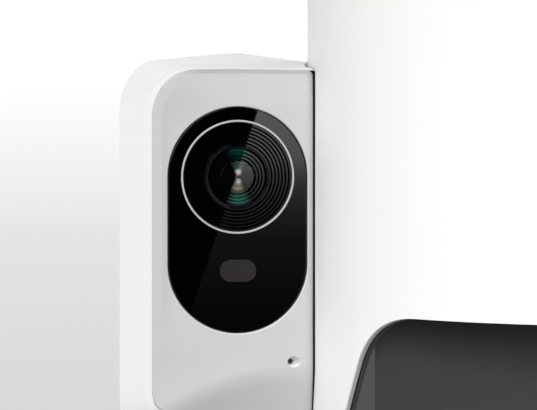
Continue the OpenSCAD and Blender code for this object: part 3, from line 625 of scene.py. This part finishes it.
def face_depth(p):
    """How far the panel's skin lies behind its front plane."""
    x, z = p
    # soft cove to the left of the window, running out to the right and at both ends
    s = inside_box(p, -121.1, 119.2, 183.5, 8.5)
    run = (1 - smooth(-118.5, -100.0, x)) * (1 - smooth(172.0, 184.0, z)) * smooth(117.0, 142.0, z)
    d = 0.0
    if s > 0:
        d += 0.65 * run * (1 - math.exp(-(s * s) / (s + 0.5) / 1.5))
    d += chin(x, z)
    # low brow over the chin's crease
    u = max(0.0, min(10.0, 127.4 - 0.0085 * (x + 87.0) ** 2 - z))
    d -= 0.055 * u * u / 20.0 * smooth(-123.5, -119.0, x) * (1 - smooth(-101.0, -92.0, x))
    # narrow strip along the top edge that leans forward over the panel
    top = max(0.0, FACE_TOP - 0.42 * max(0.0, x + 103.0) / 17.45 - z)
    d += (0.3 * top if top < 0.93 else 0.279 * max(0.0, 1 - (top - 0.93) / 7.0)) * smooth(-117.0, -110.5, x)
    # the right edge turns away towards the tower
    d += 0.25 * max(0.0, 2.06 - (-85.24 - x)) ** 2
    # edges
    e = min(seg_dist(p, a, b) for a, b in zip(FACE_EDGE, FACE_EDGE[1:] + FACE_EDGE[:1]))
    r = 0.2
    if e < r:
        d += r - math.sqrt(max(0.0, r * r - (r - e) * (r - e)))
    w = max(0.0, slot_dist(p, 16.4))
    r = 0.28
    if w < r:
        d += r - math.sqrt(max(0.0, r * r - (r - w) * (r - w)))
    return d


def face_panel():
    n, m = 420, 64
    # the outer edge, as points seen from the window's axis
    inner, outer = [], []
    per = 2 * (LENS_Z - LOW_Z) + 2 * math.pi * 16.4
    edges = list(zip(FACE_EDGE, FACE_EDGE[1:] + FACE_EDGE[:1]))
    for k in range(n):
        t = per * k / n
        q = math.pi * 16.4
        h = LENS_Z - LOW_Z
        if t < q:
            a = t / 16.4
            c, d = (LENS_X, LENS_Z), (math.cos(a), math.sin(a))
        elif t < q + h:
            c, d = (LENS_X, LENS_Z - (t - q)), (-1.0, 0.0)
        elif t < 2 * q + h:
            a = math.pi + (t - q - h) / 16.4
            c, d = (LENS_X, LOW_Z), (math.cos(a), math.sin(a))
        else:
            c, d = (LENS_X, LOW_Z + (t - 2 * q - h)), (1.0, 0.0)
        inner.append((c[0] + 16.4 * d[0], c[1] + 16.4 * d[1]))
        best = 1e9
        for a, b in edges:
            ex, ez = b[0] - a[0], b[1] - a[1]
            den = d[0] * ez - d[1] * ex
            if abs(den) < 1e-12:
                continue
            u = ((a[0] - c[0]) * ez - (a[1] - c[1]) * ex) / den
            v = ((a[0] - c[0]) * d[1] - (a[1] - c[1]) * d[0]) / den
            if u > 0 and -1e-9 <= v <= 1 + 1e-9:
                best = min(best, u)
        outer.append((c[0] + best * d[0], c[1] + best * d[1]))
    # snap the nearest spokes to the outline's corners
    for corner in (FACE_EDGE[0], FACE_EDGE[-1], FACE_EDGE[-2], FACE_EDGE[-3]):
        k = min(range(n), key=lambda i: math.hypot(outer[i][0] - corner[0], outer[i][1] - corner[1]))
        outer[k] = corner
    verts, faces = [], []
    for k in range(n):
        a, b = inner[k], outer[k]
        length = math.hypot(b[0] - a[0], b[1] - a[1])
        for j in range(m + 1):
            f = j / m
            # closer rows at both edges
            f = 0.5 - 0.5 * math.cos(math.pi * f) if length < 8 else 0.75 * (0.5 - 0.5 * math.cos(math.pi * f)) + 0.25 * f
            p = (a[0] + (b[0] - a[0]) * f, a[1] + (b[1] - a[1]) * f)
            verts.append((p[0], FRONT + face_depth(p), p[1]))
    w = m + 1
    for k in range(n):
        q = (k + 1) % n
        for j in range(m):
            faces.append((k * w + j, q * w + j, q * w + j + 1, k * w + j + 1))
    # sides and back
    base = len(verts)
    for k in range(n):
        verts.append((inner[k][0], -3.0, inner[k][1]))
    for k in range(n):
        verts.append((outer[k][0], min(max(-3.0, FRONT + chin(*outer[k]) + 1.6), -1.2), outer[k][1]))
    for k in range(n):
        q = (k + 1) % n
        faces.append((k * w, base + k, base + q, q * w))
        faces.append((k * w + m, q * w + m, base + n + q, base + n + k))
        faces.append((base + k, base + n + k, base + n + q, base + q))
    return new_object("pod_face_panel", verts, faces, 40.0)


pod_face = face_panel()


def along_y(cx, cz):
    """Turned about a line along Y: height is the Y value."""
    return lambda r, a, h: (cx + r * math.cos(a), h, cz + r * math.sin(a))


# microphone port at the left of a shallow dimple
mic_y = FRONT + chin(-90.3, 118.0)
rings = []
for x, r, flat, y in ((-89.9, 1.8, 0.8, mic_y - 1.5), (-89.9, 1.76, 0.8, mic_y - 0.12), (-89.93, 1.6, 0.8, mic_y + 0.02), (-90.03, 1.38, 0.82, mic_y + 0.18), (-90.3, 0.98, 0.87, mic_y + 0.52), (-90.55, 0.68, 0.94, mic_y + 0.92), (-90.62, 0.6, 1.0, mic_y + 1.2), (-90.62, 0.6, 1.0, 0.5)):
    rings.append([(x + r * math.cos(2 * math.pi * k / 64), y, 117.75 + 0.1 * (1.0 - r / 1.8) + flat * r * math.sin(2 * math.pi * k / 64)) for k in range(64)])
cut(pod_face, loft("mic_cut", rings), angle=40.0)
dress(pod_face, "face_grey", "tower", ["pod_face"])


def gap_y(z):
    """Depth of the face panel's right edge."""
    return FRONT + chin(-85.24, z) + 1.06


# seal between the pod and the tower: rubber, coloured darker than the other rubber parts, which paints shade into the
# seam
rings = []
for k in range(41):
    z = 104.6 + (185.4 - 104.6) * k / 40
    y0 = gap_y(z) - 0.35
    ro = 85.3 - 0.2 * (1 - smooth(106.0, 122.0, z))
    sec = [(85.03, 18.0), (85.03, y0 + 0.12), (85.05, y0), (ro - 0.03, y0 - 0.03), (ro, y0 + 0.12), (ro, y0 + 1.4), (85.7, y0 + 2.6), (85.7, 18.0)]
    rings.append([(-math.sqrt(r * r - y * y), y, z) for r, y in sec])
dress(loft("pod_gasket_bead", rings, 40.0), "rubber_black", "tower", ["pod_gasket"], finish="gasket_dark")

# mouth trim: a grey bead under the shell's edge and a dark collar with a groove between them; the collar's dark floor
# in the groove is painted shade in the gap
MOUTH_TOP, MOUTH_SLOPE, MOUTH_R, MOUTH_Y = 130.7, math.radians(63.5), 21.0, -37.5
MOUTH_C = (MOUTH_Y - MOUTH_R * (1 - math.cos(MOUTH_SLOPE)) / math.sin(MOUTH_SLOPE), MOUTH_TOP - MOUTH_R)


def mouth_strip(name, section):
    """Sweeps a section of (radius, offset from the mouth's edge) along the edge, from the left foot to the right foot."""
    path = []
    end = (MOUTH_C[0] + MOUTH_R * math.sin(MOUTH_SLOPE), MOUTH_C[1] + MOUTH_R * math.cos(MOUTH_SLOPE))
    for k in range(25):
        z = 6.3 + (end[1] - 6.3) * k / 24
        path.append((end[0] + (end[1] - z) / math.tan(MOUTH_SLOPE), z, math.sin(MOUTH_SLOPE), math.cos(MOUTH_SLOPE)))
    for k in range(1, 33):
        t = MOUTH_SLOPE * (1 - k / 32)
        path.append((MOUTH_C[0] + MOUTH_R * math.sin(t), MOUTH_C[1] + MOUTH_R * math.cos(t), math.sin(t), math.cos(t)))
    left = []
    for y, z, ny, nz in path:
        left.append([(-math.sqrt(r * r - (y + o * ny) ** 2), y + o * ny, max(6.2, z + o * nz)) for r, o in section])
    start = math.asin(-MOUTH_C[0] / 84.0)
    for k in range(1, 25):
        t = start + (math.pi / 2 - start) * k / 24
        left.append([(-r * math.cos(t), -r * math.sin(t), MOUTH_TOP + o) for r, o in section])
    return loft(name, left + [[(-x, y, z) for x, y, z in ring] for ring in left[-2::-1]], 40.0)


dress(mouth_strip("mouth_trim_bead", [(83.85, 1.1), (83.85, 0.06), (83.91, 0.0), (84.59, 0.0), (84.65, 0.06), (84.65, 1.1)]), "trim_grey", "tower", ["mouth_trim"])
dress(mouth_strip("mouth_trim_collar", [(82.6, 1.1), (82.6, 0.06), (82.66, 0.0), (83.39, 0.0), (83.45, 0.06), (83.45, 1.0), (83.83, 1.0), (83.83, 1.1)]), "trim_grey", "tower", ["mouth_trim"], finish="trim_dark")

# black window with its lens opening and sensor slot
def slot_outline(x, z0, z1, r, n=64):
    return arc(x, z1, r, 0, 180, n) + arc(x, z0, r, 180, 360, n)


def flat_slot(x, z, w, h, n=24):
    return arc(x + w / 2 - h / 2, z, h / 2, -90, 90, n) + arc(x - w / 2 + h / 2, z, h / 2, 90, 270, n)


WIN = FRONT + 0.3
rings = []
for k in range(6):
    t = math.radians(90 * k / 5)
    d = 0.3 * (1 - math.sin(t))
    rings.append([(x, WIN + 0.3 * (1 - math.cos(t)), z) for x, z in slot_outline(LENS_X, LOW_Z, LENS_Z, 16.28 - d)])
rings.append([(x, FRONT + 2.0, z) for x, z in slot_outline(LENS_X, LOW_Z, LENS_Z, 16.28)])
window = loft("camera_window_glass", rings, 28.0)
cut(window, lathe("bore", [(0.0, -20.0), (13.36, -20.0), (13.36, FRONT + 0.78), (12.66, FRONT + 0.78), (12.66, 0.0), (0.0, 0.0)], along_y(LENS_X, LENS_Z), seg=192), angle=28.0)
ir = flat_slot(LENS_X + 0.1, 139.1, 8.68, 5.3)
cut(window, loft("ir_cut", [[(x, -20.0, z) for x, z in ir], [(x, 0.0, z) for x, z in ir]]), angle=28.0)
dress(flat_front(window), "window_black", "tower", ["camera_window"])

rings = []
for k in range(5):
    t = math.radians(90 * k / 4)
    d = 0.12 * (1 - math.sin(t))
    rings.append([(x, WIN + 0.04 + 0.12 * (1 - math.cos(t)), z) for x, z in flat_slot(LENS_X + 0.1, 139.1, 8.62 - 2 * d, 5.24 - 2 * d)])
rings.append([(x, FRONT + 1.5, z) for x, z in flat_slot(LENS_X + 0.1, 139.1, 8.62, 5.24)])
ir_window = loft("ir_window_filter", rings, 28.0)
dress(flat_front(ir_window), "ir_dark", "tower", ["ir_window"])

# lens: silver ring, ridged disc, inner glass, barrel with fine ridges and a domed element
ring = [(12.82, -5.28), (12.82, -5.86)] + arc(12.95, -5.86, 0.13, 180, 270, 4)[1:] + arc(13.13, -5.86, 0.13, 270, 360, 4) + [(13.26, -5.28)]
dress(lathe("lens_ring_bright", ring, along_y(LENS_X, LENS_Z), seg=192), "ring_silver", "tower", ["lens_ring"])

def bead(r, y, w, h, n=8):
    """Outline of a small rounded bead at radius r, run inwards."""
    return [(r + w * math.cos(math.pi * k / n), y - h * math.sin(math.pi * k / n)) for k in range(n + 1)]


def land(r, y, w, h, n=5):
    """Outline of a flat ring of half-width w with rounded shoulders at radius r, run inwards."""
    side = [(math.cos(math.pi / 2 * k / n), math.sin(math.pi / 2 * k / n)) for k in range(n + 1)]
    return [(r + w - h + h * c, y + h - h * q) for c, q in side] + [(r - w + h - h * c, y + h - h * q) for c, q in side[::-1]]


Y0 = FRONT + 0.45
prof = [(12.6, 2.5), (12.6, Y0 + 0.1), (12.5, Y0)]
for k in range(6):
    r = 12.27 - 0.8 * k
    prof += [(r, Y0), (r - 0.22, Y0 + 0.42), (r - 0.44, Y0 + (0.14 if k == 5 else 0.0))]
prof += land(7.61, Y0, 0.2, 0.09) + [(7.345, Y0 + 0.3)] + land(7.1, Y0, 0.145, 0.12) + [(6.95, Y0 + 0.14), (6.95, 2.5)]
dress(flat_front(lathe("lens_hood_ridged", prof, along_y(LENS_X, LENS_Z), seg=192, angle=50.0)), "lens_black", "tower", ["lens_hood"])

# cover: a clear flat centre, and round it flat lands with painted green reflections in their colour and fine grooves
# between them
Yc = FRONT + 0.55
prof = [(0.0, Yc), (3.85, Yc), (3.93, Yc + 0.08), (3.93, FRONT + 1.27), (3.85, FRONT + 1.35), (0.0, FRONT + 1.35)]
dress(flat_front(lathe("lens_cover_glass", prof, along_y(LENS_X, LENS_Z), seg=128, angle=20.0)), "lens_glass", "tower", ["lens_cover"])
prof = [(3.97, FRONT + 1.35), (3.97, Yc + 0.07), (4.15, Yc + 0.38), (4.37, Yc)]
for k in range(1, 3):
    r = 4.15 + 0.8 * k
    prof += [(r - 0.22, Yc), (r, Yc + 0.38), (r + 0.22, Yc)]
prof += [(6.33, Yc), (6.55, Yc + 0.38), (6.72, Yc + 0.09), (6.9, Yc + 0.42), (6.9, FRONT + 1.25), (6.8, FRONT + 1.35)]
dress(flat_front(lathe("lens_cover_lands", prof, along_y(LENS_X, LENS_Z), seg=192, angle=20.0)), "lens_glass", "tower", ["lens_cover"], finish="lens_land")

# barrel: rounded ridges, with painted green reflections in their colour
Y1 = FRONT + 1.5
prof = [(4.25, Y1 + 0.3)]
for k in range(4):
    prof += bead(4.6 + 0.66 * k, Y1 + 0.3, 0.3, 0.3)[::-1]
prof += [(6.9, Y1 + 0.35), (6.9, 2.55), (12.5, 2.55), (12.5, 3.8), (8.4, 3.8), (8.4, 16.0), (3.2, 16.0), (3.2, -0.3), (4.25, -0.3)]
dress(lathe("lens_barrel_ridged", prof, along_y(LENS_X, LENS_Z), seg=160, angle=60.0), "lens_black", "tower", ["lens_barrel"], finish="lens_teal")

# inner lens: a strongly domed element with stepped zones, and painted highlights in its colour
prof = [(0.0, -0.35), (4.2, -0.35)]
zone = []
slope = ((0.0, 0.0), (0.35, 10.0), (0.6, 21.0), (1.9, 28.0), (2.0, 12.0), (2.2, 12.0), (2.3, 22.0), (2.5, 30.0), (2.6, 12.0), (2.75, 22.0), (3.0, 30.0), (3.1, 14.0), (3.35, 22.0), (3.6, 30.0), (4.2, 40.0))
y, r, step = -4.45, 0.0, 0.05
zone.append((0.0, y))
while r < 4.2 - 1e-6:
    m = r + step / 2
    for (r0, a0), (r1, a1) in zip(slope, slope[1:]):
        if r0 <= m <= r1:
            y += step * math.tan(math.radians(a0 + (a1 - a0) * (m - r0) / (r1 - r0)))
            break
    r += step
    zone.append((r, y))
prof += zone[::-1][:-1] + [zone[0]]
dress(lathe("front_lens_dome", prof, along_y(LENS_X, LENS_Z), seg=128, angle=40.0), "lens_coated", "tower", ["front_lens"])

# ---------------------------------------------------------------- bowl
BOWL_Y, RIM_R, TRAY_TOP = -64.0, 61.6, 34.0
outline = [(0.0, 9.4), (45.0, 9.4), (48.2, 11.0), (RIM_R - 5.8, TRAY_TOP + 0.4), (RIM_R - 0.7, TRAY_TOP + 0.4), (RIM_R, TRAY_TOP + 0.75), (RIM_R, TRAY_TOP + 1.45), (RIM_R - 0.7, TRAY_TOP + 1.8), (RIM_R - 6.9, TRAY_TOP + 1.8), (47.2, 12.6), (44.6, 10.6), (0.0, 10.6)]
prof = round_corners(outline, [0, 3.0, 3.0, 0.9, 0.5, 0.5, 0.5, 0.5, 2.6, 2.4, 2.4, 0], 8)
dress(lathe("food_bowl_pressed", prof, lambda r, a, h: (r * math.cos(a), BOWL_Y + r * math.sin(a), h), seg=192, angle=40.0), SLOT_OF["food_bowl"], "bowl", ["food_bowl"], finish="bowl_steel")

# ---------------------------------------------------------------- stage, light and camera
scene.view_settings.view_transform = "Standard"
world = bpy.data.worlds.new("studio")
scene.world = world
world.use_nodes = True
world.node_tree.nodes["Background"].inputs["Color"].default_value = (1, 1, 1, 1)
world.node_tree.nodes["Background"].inputs["Strength"].default_value = 0.4

# stage floor painted lighter towards the back and glowing beyond 2.2 m: painted light in place of light falling on the
# far floor
floor_m = bpy.data.materials.new("floor")
floor_m.use_nodes = True
nt = floor_m.node_tree
fb = nt.nodes["Principled BSDF"]
fb.inputs["Roughness"].default_value = 0.9
fb.inputs["Specular IOR Level"].default_value = 0.0
geo = nt.nodes.new("ShaderNodeTexCoord")
sep = nt.nodes.new("ShaderNodeSeparateXYZ")
nt.links.new(geo.outputs["Object"], sep.inputs["Vector"])
mr = nt.nodes.new("ShaderNodeMapRange")
mr.inputs["From Min"].default_value = 0.0
mr.inputs["From Max"].default_value = 4.0
nt.links.new(sep.outputs["Y"], mr.inputs["Value"])
fr = nt.nodes.new("ShaderNodeValToRGB")
painted_light_tones = ((0.1, 0.72), (0.41, 0.845), (0.6, 0.95), (0.9, 0.98))
fr.color_ramp.elements[0].position, fr.color_ramp.elements[1].position = painted_light_tones[0][0], painted_light_tones[-1][0]
for t, v in painted_light_tones[1:-1]:
    fr.color_ramp.elements.new(t)
for e, (t, v) in zip(fr.color_ramp.elements, painted_light_tones):
    e.color = (v, v, v, 1)
nt.links.new(mr.outputs["Result"], fr.inputs["Fac"])
nt.links.new(fr.outputs["Color"], fb.inputs["Base Color"])
glow = nt.nodes.new("ShaderNodeMapRange")
glow.inputs["From Min"].default_value = 2.2
glow.inputs["From Max"].default_value = 3.2
glow.inputs["To Max"].default_value = 0.2
nt.links.new(sep.outputs["Y"], glow.inputs["Value"])
nt.links.new(glow.outputs["Result"], fb.inputs["Emission Strength"])
fb.inputs["Emission Color"].default_value = (1, 1, 1, 1)
bpy.ops.mesh.primitive_grid_add(x_subdivisions=4, y_subdivisions=4, size=120.0, location=(0, 0, 0))
floor = bpy.context.object
floor.name = "floor"
floor.data.materials.append(floor_m)

sun = bpy.data.lights.new("key", "SUN")
sun.energy = 2.45
sun.angle = math.radians(60)
key = bpy.data.objects.new("key", sun)
scene.collection.objects.link(key)
az, el = math.radians(-29), math.radians(35)
toward = Vector((math.sin(az) * math.cos(el), -math.cos(az) * math.cos(el), math.sin(el)))
key.rotation_euler = toward.to_track_quat("Z", "Y").to_euler()

# the pod's shell has its own soft light from the left
side = bpy.data.lights.new("pod_side", "SUN")
side.energy = 2.05
side.angle = math.radians(120)
side_ob = bpy.data.objects.new("pod_side", side)
scene.collection.objects.link(side_ob)
az, el = math.radians(-52), math.radians(48)
side_ob.rotation_euler = Vector((math.sin(az) * math.cos(el), -math.cos(az) * math.cos(el), math.sin(el))).to_track_quat("Z", "Y").to_euler()
pod_only = bpy.data.collections.new("pod_pieces")
pod_only.objects.link(pod_shell)
side_ob.light_linking.receiver_collection = pod_only
low = bpy.data.lights.new("pod_low", "SUN")
low.energy = 0.62
low.angle = math.radians(60)
low.use_shadow = False
low_ob = bpy.data.objects.new("pod_low", low)
scene.collection.objects.link(low_ob)
az, el = math.radians(-70), math.radians(-45)
low_ob.rotation_euler = Vector((math.sin(az) * math.cos(el), -math.cos(az) * math.cos(el), math.sin(el))).to_track_quat("Z", "Y").to_euler()
low_ob.light_linking.receiver_collection = pod_only
rear = bpy.data.lights.new("pod_rear", "SUN")
rear.energy = 0.76
rear.angle = math.radians(20)
rear_ob = bpy.data.objects.new("pod_rear", rear)
scene.collection.objects.link(rear_ob)
az, el = math.radians(140), math.radians(35)
rear_ob.rotation_euler = Vector((math.sin(az) * math.cos(el), -math.cos(az) * math.cos(el), math.sin(el))).to_track_quat("Z", "Y").to_euler()
rear_ob.light_linking.receiver_collection = pod_only

# the face panel has its own higher key
face_sun = bpy.data.lights.new("face_key", "SUN")
face_sun.energy = 3.5
face_sun.angle = math.radians(60)
face_key = bpy.data.objects.new("face_key", face_sun)
scene.collection.objects.link(face_key)
az, el = math.radians(-36), math.radians(52)
face_key.rotation_euler = Vector((math.sin(az) * math.cos(el), -math.cos(az) * math.cos(el), math.sin(el))).to_track_quat("Z", "Y").to_euler()
face_only = bpy.data.collections.new("face_pieces")
face_only.objects.link(pod_face)
face_key.light_linking.receiver_collection = face_only

# the tower's shell has its own softer key, and small lamps fill it next to the pod
tower_sun = bpy.data.lights.new("tower_key", "SUN")
tower_sun.energy = 2.9
tower_sun.angle = math.radians(60)
tower_key = bpy.data.objects.new("tower_key", tower_sun)
scene.collection.objects.link(tower_key)
az, el = math.radians(-23), math.radians(35)
tower_key.rotation_euler = Vector((math.sin(az) * math.cos(el), -math.cos(az) * math.cos(el), math.sin(el))).to_track_quat("Z", "Y").to_euler()
tower_only = bpy.data.collections.new("tower_pieces")
tower_only.objects.link(NODES["outer_shell"])
tower_key.light_linking.receiver_collection = tower_only
for k, z in enumerate((0.118, 0.145, 0.172)):
    fill = bpy.data.lights.new("pod_fill_%d" % k, "POINT")
    fill.energy = 0.0013
    fill.shadow_soft_size = 0.005
    fill.specular_factor = 0.0
    fill.use_shadow = False
    fill_ob = bpy.data.objects.new("pod_fill_%d" % k, fill)
    fill_ob.location = (-0.1, -0.015, z)
    scene.collection.objects.link(fill_ob)
    fill_ob.light_linking.receiver_collection = tower_only
not_key = bpy.data.collections.new("not_key_pieces")
not_key.objects.link(pod_shell)
not_key.objects.link(pod_face)
not_key.objects.link(NODES["outer_shell"])
for part in not_key.collection_objects:
    part.light_linking.link_state = "EXCLUDE"
key.light_linking.receiver_collection = not_key

# a soft light from the right reaches the alcove's side wall
alcove_sun = bpy.data.lights.new("alcove_fill", "SUN")
alcove_sun.energy = 11.3
alcove_sun.angle = math.radians(40)
alcove_sun.use_shadow = False
alcove_ob = bpy.data.objects.new("alcove_fill", alcove_sun)
scene.collection.objects.link(alcove_ob)
az, el = math.radians(91), math.radians(40)
alcove_ob.rotation_euler = Vector((math.sin(az) * math.cos(el), -math.cos(az) * math.cos(el), math.sin(el))).to_track_quat("Z", "Y").to_euler()
alcove_only = bpy.data.collections.new("alcove_pieces")
alcove_only.objects.link(NODES["lower_chassis"])
alcove_ob.light_linking.receiver_collection = alcove_only
front_sun = bpy.data.lights.new("alcove_front", "SUN")
front_sun.energy = 3.5
front_sun.angle = math.radians(11)
front_ob = bpy.data.objects.new("alcove_front", front_sun)
scene.collection.objects.link(front_ob)
az, el = math.radians(-5), math.radians(9.5)
front_ob.rotation_euler = Vector((math.sin(az) * math.cos(el), -math.cos(az) * math.cos(el), math.sin(el))).to_track_quat("Z", "Y").to_euler()
front_ob.light_linking.receiver_collection = alcove_only

# studio card in front of the camera window: a black flag with a soft bright wedge
CARD_Y = -70.0
card_m = bpy.data.materials.new("studio_card")
card_m.use_nodes = True
nt = card_m.node_tree
nt.nodes.clear()
out = nt.nodes.new("ShaderNodeOutputMaterial")
em = nt.nodes.new("ShaderNodeEmission")
att = nt.nodes.new("ShaderNodeAttribute")
att.attribute_name = "glow"
nt.links.new(att.outputs["Fac"], em.inputs["Strength"])
nt.links.new(em.outputs["Emission"], out.inputs["Surface"])
card_m.cycles.emission_sampling = "NONE"


def card_piece(name, pts, glow):
    """A flat polygon grid on the card plane: rows of (x, z) points, and the light at each row."""
    n = len(pts[0])
    verts = [(x, CARD_Y, z) for row in pts for x, z in row]
    faces = []
    for k in range(len(pts) - 1):
        for i in range(n - 1):
            faces.append((k * n + i, k * n + i + 1, (k + 1) * n + i + 1, (k + 1) * n + i))
    me = bpy.data.meshes.new(name)
    me.from_pydata([tuple(c * MM for c in v) for v in verts], [], faces)
    att = me.attributes.new("glow", "FLOAT", "POINT")
    for i in range(len(verts)):
        att.data[i].value = glow[i // n]
    me.materials.append(card_m)
    ob = bpy.data.objects.new(name, me)
    scene.collection.objects.link(ob)
    ob.visible_camera = ob.visible_diffuse = ob.visible_shadow = ob.visible_transmission = ob.visible_volume_scatter = False
    return ob


SHIFT_X, SHIFT_Z = 9.0, -4.2


def wedge_x(z):
    """X of the wedge's slanted left edge at height z on the card."""
    return -98.4 + SHIFT_X + (z - 176.6 - SHIFT_Z) * 0.337


card_rows = ((260.0, 0.0), (200.0, 2.4), (176.0, 2.3), (168.0, 2.05), (161.0, 1.7), (158.0, 1.05), (155.0, 0.64), (151.4, 0.43), (146.7, 0.22), (142.0, 0.13), (137.4, 0.1), (132.8, 0.08), (124.6, 0.035), (116.0, 0.02), (104.0, 0.0), (50.0, 0.0))
cards = [
    card_piece("card_left", [[(-170.0, z), (wedge_x(z), z)] for z, g in card_rows], [0.0] * len(card_rows)),
    card_piece("card_right", [[(wedge_x(z), z), (-50.0, z)] for z, g in card_rows], [g for z, g in card_rows]),
]
flat_glass = bpy.data.collections.new("flat_glass")
for name in ("camera_window_glass", "lens_hood_ridged", "lens_cover_glass", "lens_cover_lands"):
    flat_glass.objects.link(bpy.data.objects[name])
for ob in cards:
    ob.light_linking.receiver_collection = flat_glass

cam = bpy.data.cameras.new("camera")
cam_ob = bpy.data.objects.new("camera", cam)
scene.collection.objects.link(cam_ob)
scene.camera = cam_ob
A, E, D = math.radians(8.0), math.radians(3.7), 4.0
aim = Vector((-0.0959, -0.006, 0.1544))
back = Vector((-math.sin(A) * math.cos(E), -math.cos(A) * math.cos(E), math.sin(E)))
cam_ob.location = aim + back * D
cam_ob.rotation_mode = "QUATERNION"
cam_ob.rotation_quaternion = (-back).to_track_quat("-Z", "Y")
cam.sensor_width = 36.0
cam.lens = 36.0 * D / 0.12488
cam.clip_start, cam.clip_end = 0.05, 200.0
